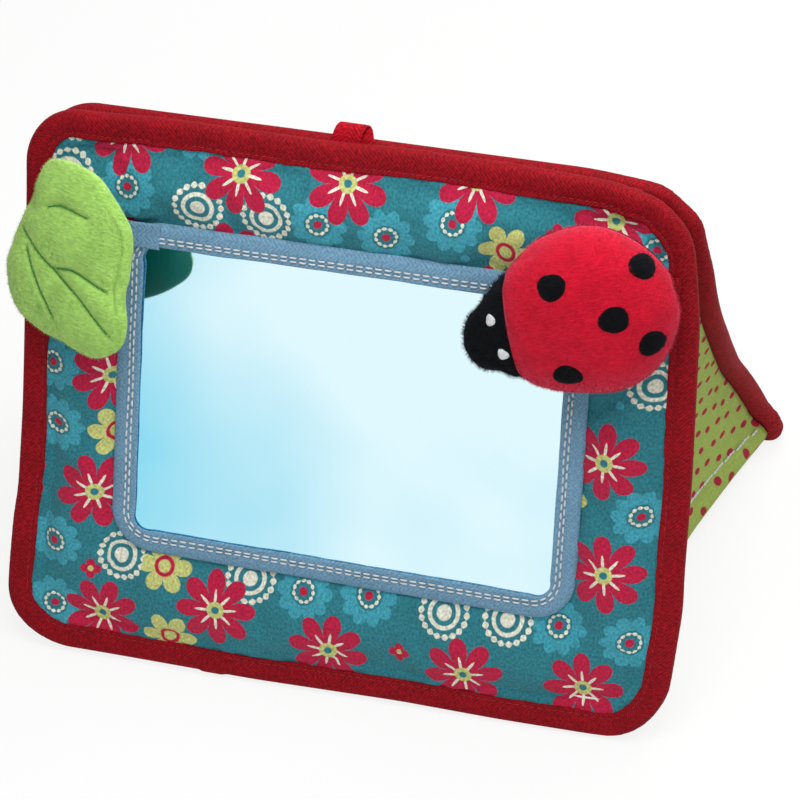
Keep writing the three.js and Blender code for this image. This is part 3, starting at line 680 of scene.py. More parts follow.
def toned(tree, colour, height, dark, light, low=-1.0, high=1.0):
    """A colour that a height between low and high darkens and lightens"""
    share = add_node(tree, "MapRange", height, low, high, dark, light)
    plain = colour if isinstance(colour, bpy.types.NodeSocket) else tuple(colour)[:3]
    return add_node(tree, "VectorMath", plain, named={"Scale": share}, operation="SCALE")


def mottled(tree, place, colour, size, dark, light, detail=3.0, stretch=(1, 1, 1)):
    """A colour that noise of a grain size darkens and lightens"""
    grain = fine_noise(tree, place, size, detail, stretch)
    return toned(tree, colour, grain, dark, light, *NOISE_RANGE)


def nearest(tree, place, layer):
    """The centre of the motif nearest a place, and its random colour"""
    spacing, randomness, shift = layer
    moved = add_node(tree, "VectorMath", place, shift, operation="ADD")
    found, chance = add_node(
        tree, "TexVoronoi", named={"Vector": moved, "Scale": 1 / spacing, "Randomness": randomness},
        out=("Position", "Color"), voronoi_dimensions="2D",
    )
    return add_node(tree, "VectorMath", found, shift, operation="SUBTRACT"), chance


def length_between(tree, start, end):
    """The way from one place to another, and its length"""
    way = add_node(tree, "VectorMath", end, start, operation="SUBTRACT")
    return way, add_node(tree, "VectorMath", way, out=("Value",), operation="LENGTH")


# The margins below say how far inside a printed form's edge a place lies


def disc_margin(tree, angle, far, radius):
    return add_node(tree, "Math", radius, far, operation="SUBTRACT")


def ring_margin(tree, angle, far, radius, width):
    off = add_node(tree, "Math", far, radius, operation="SUBTRACT")
    off = add_node(tree, "Math", off, operation="ABSOLUTE")
    return add_node(tree, "Math", width / 2, off, operation="SUBTRACT")


def petal_margin(tree, angle, far, petals, near, reach, power):
    """A flower whose edge runs between near and reach"""
    turn = add_node(tree, "Math", angle, petals / 2, operation="MULTIPLY")
    lobe = add_node(tree, "Math", add_node(tree, "Math", turn, operation="COSINE"), operation="ABSOLUTE")
    shaped = add_node(tree, "Math", lobe, power, operation="POWER")
    edge = add_node(tree, "Math", shaped, reach - near, near, operation="MULTIPLY_ADD")
    return add_node(tree, "Math", edge, far, operation="SUBTRACT")


def dots_margin(tree, angle, far, radius, width, dots):
    """A ring of round dots, whose edge lies where the squares of both offsets come to DOT_EDGE"""
    off = add_node(tree, "Math", far, radius, operation="SUBTRACT")
    off = add_node(tree, "Math", off, width / 2, operation="DIVIDE")
    turn = add_node(tree, "Math", angle, dots / 2, operation="MULTIPLY")
    beat = add_node(tree, "Math", turn, operation="SINE")
    square = add_node(tree, "Math", beat, beat, operation="MULTIPLY")
    size = add_node(tree, "Math", off, off, square, operation="MULTIPLY_ADD")
    return add_node(tree, "Math", size, -DOT_SOFTNESS, DOT_EDGE * DOT_SOFTNESS, operation="MULTIPLY_ADD")


def inked(tree, under, paint, margin, only=()):
    """Ink over a colour, within a margin's soft edge and only where the other shares allow"""
    mask = add_node(tree, "MapRange", margin, -INK_EDGE, INK_EDGE, 0.0, 1.0)
    for share in only:
        mask = add_node(tree, "Math", mask, share, operation="MULTIPLY")
    return add_node(tree, "Mix", mask, named={6: under, 7: tuple(paint)}, out=(2,), data_type="RGBA")


def printed(tree, under, place, layer, above, turned, rows):
    """Prints scattered motifs where those above leave them room; each row is a form, its sizes, the random
    numbers of the motifs that have it, and its colour"""
    centre, chance = nearest(tree, place, layer)
    pick, spin = add_node(tree, "SeparateColor", chance, out=("Red", "Green"))
    way, far = length_between(tree, centre, place)
    x, y = add_node(tree, "SeparateXYZ", way, out=("X", "Y"))
    angle = add_node(tree, "Math", y, x, operation="ARCTAN2")
    if turned:
        angle = add_node(tree, "Math", spin, 2 * math.pi, angle, operation="MULTIPLY_ADD")
    room = []
    for other, keep in above:
        gap = length_between(tree, nearest(tree, centre, other)[0], centre)[1]
        room.append(add_node(tree, "Math", gap, keep, operation="GREATER_THAN"))
    for form, form_sizes, low, high, paint in rows:
        over = add_node(tree, "Math", pick, low, operation="GREATER_THAN")
        below = add_node(tree, "Math", pick, high, operation="LESS_THAN")
        margin = form(tree, angle, far, *form_sizes)
        under = inked(tree, under, paint, margin, (over, below, *room))
    return under


# Materials


def printed_cotton(sizes, colours):
    """Plain-woven quilting cotton, screen printed: matt, with a heathery thread grain through the print"""
    look, tree, place = start_material("printed_quilting_cotton")
    spacing = sizes.motif_spacing
    # Each layer: its spacing, its randomness and its shift
    large = (spacing, 0.3, (0.1 * spacing, 0.62 * spacing, 0))
    medium = (0.54 * spacing, 0.4, (0.4 * spacing, 0.25 * spacing, 0))
    little = (0.27 * spacing, 0.7, (0.3 * spacing, 0.9 * spacing, 0))
    colour = mottled(tree, place, colours.ground, size=12 * MM, dark=0.94, light=1.06)
    place = add_node(tree, "VectorMath", place, (1, 1, 0), operation="MULTIPLY")
    colour = printed(tree, colour, place, little, ((large, 0.37 * spacing), (medium, 0.3 * spacing)), False, (
        (petal_margin, (4, 2 * MM, 4.4 * MM, 0.6), 0.0, 0.5, colours.blossom),
        (disc_margin, (1.2 * MM,), 0.0, 0.5, colours.meadow),
        (disc_margin, (1.8 * MM,), 0.5, 1.0, colours.pale),
    ))
    colour = printed(tree, colour, place, medium, ((large, 0.36 * spacing),), False, (
        (petal_margin, (6, 5 * MM, 11.5 * MM, 0.6), 0.0, 0.36, colours.meadow),
        (ring_margin, (3.4 * MM, 1.6 * MM), 0.0, 0.36, colours.blossom),
        (petal_margin, (10, 9 * MM, 12 * MM, 0.8), 0.36, 0.7, colours.pale),
        (disc_margin, (5.6 * MM,), 0.36, 0.7, colours.ground),
        (dots_margin, (4.1 * MM, 1.5 * MM, 11), 0.36, 0.7, colours.cream),
        (disc_margin, (1.7 * MM,), 0.36, 0.7, colours.blossom),
        (dots_margin, (9.4 * MM, 2.6 * MM, 18), 0.7, 1.0, colours.cream),
        (ring_margin, (5.8 * MM, 1.7 * MM), 0.7, 1.0, colours.cream),
        (disc_margin, (3 * MM,), 0.7, 1.0, colours.cream),
    ))
    colour = printed(tree, colour, place, large, (), True, (
        (petal_margin, (8, 5 * MM, 16.5 * MM, 0.42), 0.0, 1.0, colours.blossom),
        (petal_margin, (8, 0.5 * MM, 8.6 * MM, 5.0), 0.0, 1.0, colours.cream),
        (disc_margin, (3.6 * MM,), 0.0, 1.0, colours.meadow),
        (disc_margin, (1.6 * MM,), 0.0, 1.0, colours.ground),
    ))
    # Real threads are 0.25 mm apart; they and their grain are drawn coarser, so that they show
    weave = threads(tree, place, pitch_x=1.3 * MM, pitch_y=1.3 * MM)
    colour = mottled(tree, place, colour, size=1.0 * MM, dark=0.68, light=1.3, stretch=(1, 0.8, 1))
    bumps = ((fine_noise(tree, place, size=5 * MM), 0.35, 1.2 * MM), (weave, 0.3, 0.12 * MM))
    end_material(tree, colour, bumps, {**COTTON_GLOSS, "Sheen Weight": 0.08})
    return look


def twill_tape(name, sizes, colour):
    """Polyester twill tape: fine slanting ribs that catch the light, deep and saturated, hardly any shine"""
    look, tree, place = start_material(name)
    # Real ribs are 0.6 mm apart; they are drawn rib_pitch apart, so that they show
    rib = herringbone(tree, place, sizes.rib_pitch, band=5.5 * MM)
    colour = toned(tree, colour, rib, dark=0.76, light=1.2)
    colour = mottled(tree, place, colour, size=14 * MM, dark=0.88, light=1.12)
    colour = mottled(tree, place, colour, size=1.1 * MM, dark=0.55, light=1.5, stretch=(1, 0.6, 1))
    gloss = {"Roughness": 0.8, "IOR": 1.5, "Specular IOR Level": 0.16}
    end_material(tree, colour, ((rib, 0.3, 0.2 * MM),), gloss)
    return look


def twill_webbing(colours):
    """Cotton twill webbing: a herringbone of slanting ribs, matt, with paler ribs and darker hollows between
    them
    """
    look, tree, place = start_material("blue_twill_webbing")
    # Real twill lines are 0.7 mm apart; they are drawn 1.8 mm apart, so that they show
    rib = herringbone(tree, place, pitch=1.8 * MM, band=2.6 * MM)
    colour = toned(tree, colours.webbing, rib, dark=0.9, light=1.08)
    colour = mottled(tree, place, colour, size=1.2 * MM, dark=0.76, light=1.24)
    colour = mottled(tree, place, colour, size=18 * MM, dark=0.94, light=1.06)
    end_material(tree, colour, ((rib, 0.35, 0.2 * MM),), {**COTTON_GLOSS, "Roughness": 0.88})
    return look


def sewing_thread(name, colour):
    """Spun polyester sewing thread: matt with a slight twist along it"""
    look, tree, place = start_material(name)
    twist = threads(tree, place, pitch_x=0.8 * MM, pitch_y=0.6 * MM)
    colour = mottled(tree, place, colour, size=1.5 * MM, dark=0.85, light=1.1)
    end_material(tree, colour, ((twist, 0.3, 0.1 * MM),), {"Roughness": 0.6, "IOR": 1.5})
    return look


def lime_cotton(sizes, colours):
    """Plain-woven cotton with printed oval dots in slanting rows: matt, fine thread grain"""
    look, tree, place = start_material("dotted_lime_cotton")
    named = {"Vector": place, "Angle": math.radians(122)}
    slanted = add_node(tree, "VectorRotate", named=named, rotation_type="Z_AXIS")
    slanted = add_node(tree, "VectorMath", slanted, (1, 1, 0), operation="MULTIPLY")
    centre, chance = nearest(tree, slanted, (sizes.dot_spacing, 0.3, (0, 0, 0)))
    pick = add_node(tree, "SeparateColor", chance, out=("Red",))
    named = {
        "Vector": length_between(tree, centre, slanted)[0],
        "Angle": add_node(tree, "MapRange", pick, 0.0, 1.0, -0.45, 0.45),
    }
    way = add_node(tree, "VectorRotate", named=named, rotation_type="Z_AXIS")
    oval = add_node(tree, "VectorMath", way, (1, 0.68, 1), operation="MULTIPLY")
    far = add_node(tree, "VectorMath", oval, out=("Value",), operation="LENGTH")
    colour = mottled(tree, place, colours.lime, size=7 * MM, dark=0.93, light=1.06)
    colour = inked(tree, colour, colours.dot, disc_margin(tree, None, far, 1.9 * MM))
    colour = mottled(tree, place, colour, size=1.2 * MM, dark=0.84, light=1.16)
    # Real threads are 0.25 mm apart; they are drawn 0.9 mm apart, so that the grain shows
    weave = threads(tree, place, pitch_x=0.9 * MM, pitch_y=0.9 * MM)
    bumps = ((fine_noise(tree, place, size=6 * MM), 0.4, 1.2 * MM), (weave, 0.25, 0.1 * MM))
    end_material(tree, colour, bumps, COTTON_GLOSS)
    return look


def plush(name, colour, sheen, contrast, edge):
    """Short polyester plush: pile that shades where it is brushed, with painted sheen where it is seen edge
    on
    """
    look, tree, place = start_material(name)
    shaded = mottled(tree, place, colour, size=9 * MM, dark=1 - contrast, light=1 + contrast)
    # Real pile is 0.1 mm thick; its brushed streaks are drawn coarser, so that they show
    streaks = fine_noise(tree, place, size=0.9 * MM, stretch=(0.35, 1, 1))
    deep = 1.7 * contrast
    shaded = toned(tree, shaded, streaks, 1 - deep, 1 + deep, *NOISE_RANGE)
    # Painted sheen: the colour pales towards the sheen colour where the surface is seen edge on, by the share
    # edge
    facing = add_node(tree, "LayerWeight", named={"Blend": 0.4}, out=("Facing",))
    pale = add_node(tree, "Math", facing, 1.7, operation="POWER")
    pale = add_node(tree, "Math", pale, edge, operation="MULTIPLY")
    shaded = add_node(tree, "Mix", pale, named={6: shaded, 7: sheen}, out=(2,), data_type="RGBA")
    gloss = {
        "Roughness": 0.95, "IOR": 1.5, "Specular IOR Level": 0.1,
        "Sheen Weight": 0.3, "Sheen Roughness": 0.4, "Sheen Tint": sheen,
    }
    end_material(tree, shaded, ((streaks, 0.8, 0.7 * MM),), gloss)
    return look


def green_satin(colours):
    """Polyester satin: a smooth weave whose long floats give a soft streaked shine"""
    look, tree, place = start_material("green_polyester_satin")
    colour = mottled(tree, place, colours.satin, size=1 * MM, dark=0.9, light=1.1, stretch=(1, 0.1, 1))
    bumps = ((fine_noise(tree, place, size=4 * MM), 0.3, 0.8 * MM),)
    end_material(tree, colour, bumps, {"Roughness": 0.38, "IOR": 1.5, "Anisotropic": 0.5})
    return look


def mirror_film(colours):
    """Aluminised polyester film on a soft sheet: bright and slightly bowed, with a cool tint and a painted
    reflection
    """
    look, tree, place = start_material("aluminised_mirror_film", on_cloth=False)
    x, z = add_node(tree, "SeparateXYZ", place, out=("X", "Z"))
    # Painted reflection: the deeper cyan tint at the lower left clears to the right and upwards, unevenly
    across = add_node(tree, "MapRange", x, -95 * MM, 10 * MM, -0.32, 0.63)
    rise = add_node(tree, "MapRange", z, 70 * MM, 160 * MM, 0.0, 0.5)
    cloud = add_node(tree, "MapRange", fine_noise(tree, place, size=80 * MM), *NOISE_RANGE, 0.0, 0.4)
    clear = add_node(tree, "Math", across, rise, operation="ADD")
    clear = add_node(tree, "Math", clear, cloud, operation="ADD")
    ends = {6: tuple(colours.painted_reflection_tint), 7: tuple(colours.film)}
    tint = add_node(tree, "Mix", clear, named=ends, out=(2,), data_type="RGBA")
    # The sheet bows out near its upper left corner, which draws the leaf's reflection across it
    off = length_between(tree, FILM_BOW, place)[1]
    bow = add_node(tree, "MapRange", off, 0.0, FILM_BOW_REACH, 1.0, 0.0, interpolation_type="SMOOTHSTEP")
    bumps = ((fine_noise(tree, place, size=45 * MM, detail=1.0), 0.15, 1 * MM), (bow, 1.0, 12 * MM))
    end_material(tree, tint, bumps, {"Metallic": 1.0, "Roughness": 0.05})
    return look


def fibre(name, colour):
    """Carded polyester wadding: white, matt and cloudy"""
    look, tree, place = start_material(name, on_cloth=False)
    colour = mottled(tree, place, colour, size=3 * MM, dark=0.9, light=1.0)
    bumps = ((fine_noise(tree, place, size=2 * MM, detail=4.0), 0.6, 0.8 * MM),)
    end_material(tree, colour, bumps, {"Roughness": 1.0, "IOR": 1.5})
    return look


# Pieces of the panels


def front_level(sizes, x, v):
    """The front cloth's height: low at the tape, swollen, and down again at the webbing"""
    from_binding = depth_inside(PANEL, x, v) - sizes.tape_face - PUFF_LEAD
    bed = Outline(WEBBING_RIM.width, WEBBING_RIM.height, 0.0, WEBBING_RIM.base)
    from_frame = -webbing_depth(bed, x, v)
    across = np.clip(from_binding / np.maximum(from_binding + from_frame, TINY), 0, 1)
    level = COVER_HEM + BED_RISE * across + sizes.front_puff * np.sin(math.pi * across)
    level = np.where(from_frame <= 0, COVER_HEM + BED_RISE, level)
    level = np.where(from_binding <= 0, COVER_HEM, level)
    # Slight puckers fade away from the sewn edges
    depth, from_frame = depth_inside(PANEL, x, v) - PUCKER_START, -webbing_depth(WEBBING_RIM, x, v)
    open_cloth = smooth(depth / (6 * MM)) * smooth(from_frame / (3 * MM))
    fade = np.exp(-np.minimum(depth, from_frame) / (7 * MM))
    broad = 0.45 * MM * soft_noise(x, v, 17 * MM, seed=3)
    small = 0.35 * MM * soft_noise(x, v, 6 * MM, seed=4) * fade
    return level + open_cloth * (broad + small)


def back_level(sizes, x, v):
    """The back cloth's height: low at the tape, then swollen, with broad creases"""
    depth = depth_inside(BACK_PANEL, x, v)
    across = np.clip((depth - sizes.tape_face - PUFF_LEAD) / BACK_SLOPE, 0, 1)
    open_cloth = smooth((depth - PUCKER_START) / (10 * MM))
    broad = 0.9 * MM * soft_noise(x, v, 34 * MM, seed=5)
    small = 0.3 * MM * soft_noise(x, v, 12 * MM, seed=6)
    return COVER_HEM + sizes.back_puff * np.sin(across * math.pi / 2) + open_cloth * (broad + small)


def front_lining_level(sizes, x, v):
    """The front lining's level: it sags inwards past the tape"""
    slope = np.clip((depth_inside(PANEL, x, v) - sizes.tape_face) / LINING_SLOPE, 0, 1)
    return -COVER_FLOOR - LINING_SAG * slope


def back_lining_level(sizes, x, v):
    return np.full_like(x, -COVER_FLOOR)


def filling_level(sizes, x, v):
    return np.full_like(x, FILLING_LEVEL)


def layer_grid(outline, columns, rows):
    """Places over a rounded rectangle, closer together towards its edges"""
    shares = []
    for count in (rows, columns):
        crowded = (1 - np.cos(np.linspace(0, math.pi, count))) / 2
        shares.append(crowded * EDGE_CROWDING + np.linspace(0, 1, count) * (1 - EDGE_CROWDING))
    rise = shares[0][:, None] * outline.height
    x = (2 * shares[1][None, :] - 1) * half_width(outline, rise)
    return x, np.broadcast_to(outline.base + rise, x.shape)


def layer_mesh(name, panel, level, sizes, columns, rows):
    """One cloth layer of a panel, drifted with the panel's rim"""
    x, v = layer_grid(inset(panel.outline, SHEET_INSET), columns, rows)
    moved_x, moved_v = drifted(panel, x, v)
    points = panel.place(moved_x, moved_v, level(sizes, x, v))
    points[..., 2] = np.maximum(points[..., 2], CLOTH_FOOT)
    flat = np.stack((moved_x, moved_v, np.zeros_like(x)), axis=-1)
    return make_mesh(name, points, grid_faces(rows, columns), flat), x, v


def cover(panel, level, sizes, grid, limit, look, held):
    """A panel's printed cloth, blown up where no seam holds it"""
    mesh, x, v = layer_mesh(panel.body + "_cloth", panel, level, sizes, *grid)
    sewn = (depth_inside(panel.outline, x, v) < sizes.tape_face) | held(x, v)
    inflate(mesh, limit, held=sewn.ravel(), shrink=COTTON_SHRINK)
    cloth = make_piece(mesh.name, mesh, look, panel.body, (panel.body + "_cover",))
    thicken(cloth, CLOTH)


def under_webbing(x, v):
    """Where the webbing holds the front cloth down"""
    return webbing_depth(WEBBING_RIM, x, v) > -0.5 * MM


def nowhere(x, v):
    return np.zeros(x.shape, bool)


def tape_section(face):
    """A folded tape's section from its front inner edge round to its back one, as depth and level"""
    front = (
        (face, 2.55), (face + 0.15 * MM, 3.1), (face - 0.35 * MM, 3.55), (face - 1.2 * MM, 3.45),
        (face - 2.0 * MM, 3.2), (face - 2.9 * MM, 3.5), (face - 4.6 * MM, 3.8), (face * 0.4, 3.9),
        (face * 0.22, 3.65), (face * 0.1, 3.1), (face * 0.02, 2.0), (-0.1 * MM, 0.8),
    )
    section = [(depth, level * MM) for depth, level in front]
    return np.array(section + [(depth, -level) for depth, level in reversed(section)])


def webbing_section(face):
    """The webbing's section from its outer edge over its face and under its inner edge"""
    wide = face / MM
    return MM * np.array((
        (0.15, 2.9), (-0.1, 3.6), (0.3, 4.3), (1.4, 4.95), (3, 5.45), (4.9, 5.75), (6, 5.45),
        (6.95, 5.7), (7.9, 5.45), (9, 5.7), (wide - 0.4, 5.6), (wide, 5.0), (wide - 0.3, 4.55),
        (7.5, 4.5), (4.9, 4.5), (4.7, 3.0),
    ))


def around(count, section):
    """A section's depths and levels, once for each place round a rim"""
    depth, level = (np.repeat(section[None, :, k], count, axis=0) for k in (0, 1))
    return depth, level


def rim_mesh(name, panel, rim_line, depth, level, across):
    """A band round a rim, closed both ways, from its depths inside the rim and its levels"""
    x, v, out_x, out_v, lengths = (row[:, None] for row in rim_line)
    px, pv = x - depth * out_x, v - depth * out_v
    if panel.drift:
        px, pv = drifted(panel, px, pv)
    points = panel.place(px, pv, level)
    points[..., 2] = np.maximum(points[..., 2], 0)
    run = np.broadcast_to(lengths, depth.shape)
    flat = np.stack((run, np.broadcast_to(across, depth.shape), np.zeros_like(run)), axis=-1)
    mesh = make_mesh(name, points, grid_faces(*depth.shape, True, True), flat)
    face_outwards(mesh)
    return mesh


def binding_mesh(name, panel, sizes, seed):
    """Tape folded over a panel's edge, joined by a lap in its lower edge"""
    outline = panel.outline
    start = rim_length(outline) - LAP_PLACE
    rim_line = rim(outline, step=1.2 * MM, start=start)
    x, v, out_x, out_v, lengths = rim_line
    section = tape_section(sizes.tape_face)
    depth, level = around(len(x), section)
    wander = soft_noise(x, v, 16 * MM, seed)[:, None]
    flutter = soft_noise(x, v, 5 * MM, seed + 1)[:, None]
    inner = np.clip(depth / sizes.tape_face, 0, 1)
    depth += inner * (0.45 * wander + 0.25 * flutter) * MM
    corner = np.minimum(np.abs(out_x), np.abs(out_v))[:, None] > 0.02
    gathers = np.where(corner, np.sin(lengths[:, None] / GATHER_PITCH * 2 * math.pi), 0)
    level *= 1 + TAPE_UNEVENNESS * (wander + flutter + gathers) * np.sqrt(inner)
    lap = smooth((LAP_LENGTH - lengths) / (0.8 * MM))[:, None]
    level *= 1 + LAP_RISE * lap
    depth -= 0.5 * MM * lap * (1 - inner)
    steps = np.hypot(np.diff(section[:, 0]), np.diff(section[:, 1]))
    return rim_mesh(name, panel, rim_line, depth, level, np.concatenate(([0], np.cumsum(steps))))


def closed_tubes(name, points, flat):
    """Tubes with closed ends, from the rings of points round each"""
    count, rings, spokes = points.shape[:3]
    one = grid_faces(rings, spokes, round_columns=True)
    one.append(tuple(range(spokes)))
    one.append(tuple(reversed(range((rings - 1) * spokes, rings * spokes))))
    faces = [tuple(index + k * rings * spokes for index in face) for k in range(count) for face in one]
    mesh = make_mesh(name, points, faces, flat)
    face_outwards(mesh)
    return mesh


def stitch_mesh(name, places, ways, ups, length, radius, dip=0.5):
    """Separate stitches: short rounded threads whose ends dive into the cloth"""
    lifts = 1 - dip * (2 * STITCH_SHARES - 1) ** 4 * 2
    turns = np.arange(STITCH_SPOKES) / STITCH_SPOKES * 2 * math.pi
    along = (STITCH_SHARES - 0.5) * length
    places, ways, ups, sides = (a[:, None, None, :] for a in (places, ways, ups, np.cross(ups, ways)))
    ring = np.cos(turns)[:, None] * sides + np.sin(turns)[:, None] * ups
    spine = places + along[:, None, None] * ways + (lifts * radius)[:, None, None] * ups
    points = spine + STITCH_WIDTHS[:, None, None] * radius * ring
    flat = np.zeros(points.shape)
    flat[..., 0] = along[:, None] + np.arange(len(points))[:, None, None] * length
    flat[..., 1] = turns * radius
    return closed_tubes(name, points, flat)


def unit(ways):
    return ways / np.maximum(np.linalg.norm(ways, axis=-1, keepdims=True), TINY)


def rim_stitches(name, panel, depth, level, pitch, length, radius, seed, side=1):
    """A row of stitches at one depth inside a rim"""
    x, v, out_x, out_v = rim(inset(panel.outline, depth), pitch)[:4]
    x = x + soft_noise(x, v, 20 * MM, seed) * 0.3 * MM * out_x
    v = v + soft_noise(x, v, 20 * MM, seed) * 0.3 * MM * out_v
    ahead_x, ahead_v = x - NUDGE * out_v, v + NUDGE * out_x
    if panel.drift:
        x, v = drifted(panel, x, v)
        ahead_x, ahead_v = drifted(panel, ahead_x, ahead_v)
    places = panel.place(x, v, side * level)
    ways = unit(panel.place(ahead_x, ahead_v, side * level) - places)
    ups = (panel.place(x, v, side * (level + NUDGE)) - places) / NUDGE
    return stitch_mesh(name, places, ways, ups, length, radius)


def ribbon_mesh(name, path, side, width, thickness):
    """A strap along a path, with rounded selvedges; its ribs run across it"""
    path = np.asarray(path, float)
    lengths = run_lengths(path)
    at = np.linspace(0, lengths[-1], max(int(lengths[-1] / RIBBON_STEP), 8))
    line = np.stack([np.interp(at, lengths, path[:, k]) for k in range(3)], axis=1)
    for _ in range(RIBBON_SMOOTHINGS):
        line[1:-1] = 0.5 * line[1:-1] + 0.25 * (line[:-2] + line[2:])
    side = np.broadcast_to(np.asarray(side, float), line.shape)
    up = unit(np.cross(unit(np.gradient(line, axis=0)), side))
    section = np.array(RIBBON_HALF + tuple((-a, -b) for a, b in RIBBON_HALF))
    points = (
        line[:, None, :]
        + section[None, :, 0, None] * width * side[:, None, :]
        + section[None, :, 1, None] * thickness * up[:, None, :]
    )
    flat = np.zeros(points.shape)
    flat[..., 0] = at[:, None]
    flat[..., 1] = section[:, 0] * width
    return closed_tubes(name, points[None], flat)


class FLOORMIRROR_OT_front_cloth(bpy.types.Operator):
    """Makes the printed cloth that swells between the tape and the webbing"""

    bl_idname = "floor_mirror.front_cloth"
    bl_label = "Front cloth"

    def execute(self, context):
        sizes, colours = values(context)
        look = printed_cotton(sizes, colours)
        cover(FRONT, front_level, sizes, grid=(150, 130), limit=2 * MM, look=look, held=under_webbing)
        return {"FINISHED"}


class FLOORMIRROR_OT_back_cloth(bpy.types.Operator):
    """Makes the printed cloth on the outer side of the back panel"""

    bl_idname = "floor_mirror.back_cloth"
    bl_label = "Back cloth"

    def execute(self, context):
        sizes = values(context)[0]
        look = bpy.data.materials["printed_quilting_cotton"]
        cover(BACK, back_level, sizes, grid=(120, 100), limit=3 * MM, look=look, held=nowhere)
        return {"FINISHED"}


class FLOORMIRROR_OT_linings(bpy.types.Operator):
    """Makes the lime cloth on the inner face of each panel, and the wadding behind it"""

    bl_idname = "floor_mirror.linings"
    bl_label = "Linings"

    def execute(self, context):
        sizes, colours = values(context)
        look = lime_cotton(sizes, colours)
        fill = fibre("carded_polyester_wadding", colours.wadding)
        for panel, level in ((FRONT, front_lining_level), (BACK, back_lining_level)):
            body = panel.body
            mesh = layer_mesh(body + "_lining_cloth", panel, level, sizes, 90, 80)[0]
            cloth = make_piece(mesh.name, mesh, look, body, (body + "_lining",))
            thicken(cloth, CLOTH)
            mesh = layer_mesh(body + "_filling", panel, filling_level, sizes, 60, 50)[0]
            pad = make_piece(mesh.name, mesh, fill, body, (body + "_wadding",))
            thicken(pad, 1.4 * MM)
        return {"FINISHED"}


class FLOORMIRROR_OT_bindings(bpy.types.Operator):
    """Makes the red tape round each panel, with the stitching along its inner edge"""

    bl_idname = "floor_mirror.bindings"
    bl_label = "Bindings"

    def execute(self, context):
        sizes, colours = values(context)
        look = twill_tape("red_twill_tape", sizes, colours.tape)
        thread = sewing_thread("red_sewing_thread", colours.tape)
        seam = sizes.tape_face - 2 * MM
        for panel, seed in ((FRONT, 11), (BACK, 21)):
            body = panel.body
            mesh = binding_mesh(body + "_tape", panel, sizes, seed)
            tape = make_piece(mesh.name, mesh, look, body, (body + "_binding",))
            subdivide(tape)
            for word, side in (("face", 1), ("inside", -1)):
                row = rim_stitches(
                    body + "_tape_stitches_" + word, panel, depth=seam, level=3.1 * MM, pitch=3.2 * MM,
                    length=2.3 * MM, radius=0.2 * MM, seed=seed + 5, side=side,
                )
                make_piece(row.name, row, thread, body, ())
        return {"FINISHED"}


class FLOORMIRROR_OT_mirror(bpy.types.Operator):
    """Finishes the mirror sheet and its hidden board"""

    bl_idname = "floor_mirror.mirror"
    bl_label = "Mirror and board"

    def execute(self, context):
        colours = values(context)[1]
        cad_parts["mirror"].material_slots[0].material = mirror_film(colours)
        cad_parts["front_board"].material_slots[0].material = fibre("grey_board", colours.board)
        return {"FINISHED"}


class FLOORMIRROR_OT_webbing(bpy.types.Operator):
    """Makes the webbing round the mirror, its lapped end and its two rows of stitching"""

    bl_idname = "floor_mirror.webbing"
    bl_label = "Webbing frame"

    def execute(self, context):
        sizes, colours = values(context)
        look = twill_webbing(colours)
        thread = sewing_thread("white_sewing_thread", colours.thread)
        # Painted shadow: the grey thread stands for the shade between the white stitches
        shaded = sewing_thread("painted_stitch_shadow_thread", colours.painted_stitch_shadow)
        face, pitch = sizes.webbing_face, sizes.stitch_pitch
        rim_line = rim(WEBBING_RIM, step=1 * MM)
        x, v, out_x, out_v = rim_line[:4]
        depth, level = around(len(x), webbing_section(face))
        wander = soft_noise(x, v, 19 * MM, seed=31)[:, None]
        flutter = soft_noise(x, v, 6 * MM, seed=32)[:, None]
        depth += (0.25 * wander + 0.08 * flutter) * MM
        # The inner edge turns its corners more tightly than the outer one
        corner = np.abs(2 * out_x * out_v)[:, None]
        depth -= 1.2 * MM * corner * smooth((depth - 3 * MM) / (7 * MM))
        level += np.where(level > 4.4 * MM, 0.12 * flutter * MM, 0)
        mesh = rim_mesh("webbing", WEBBING, rim_line, depth, level, depth)
        webbing = make_piece(mesh.name, mesh, look, "front", ("mirror_frame",))
        subdivide(webbing)
        end, top = -WEBBING_RIM.width / 2, WEBBING_RIM.base + WEBBING_RIM.height
        path = ((17, 6.3), (9, 6.5), (2, 6.3), (-0.6, 5.6))
        line = [on_webbing(end + ahead * MM, top - face / 2, rise * MM) for ahead, rise in path]
        lap = ribbon_mesh("webbing_lap", line, PANEL_UP, width=face + 0.6 * MM, thickness=1.1 * MM)
        make_piece(lap.name, lap, look, "front", ())
        for word, inward, seed in WEBBING_ROWS:
            name, node = "webbing_stitches_" + word, "frame_stitch_" + word
            row = rim_stitches(
                name, WEBBING, inward, level=5.62 * MM, pitch=pitch, length=sizes.stitch_length,
                radius=sizes.thread_radius, seed=seed,
            )
            make_piece(name, row, thread, "front", (node,))
            # Painted shadow: a continuous grey row under the white stitches, seen only between them as their
            # shade
            row = rim_stitches(
                name + "_between", WEBBING, inward, level=5.5 * MM, pitch=pitch, length=pitch,
                radius=0.28 * MM, seed=seed,
            )
            make_piece(row.name, row, shaded, "front", ())
        return {"FINISHED"}


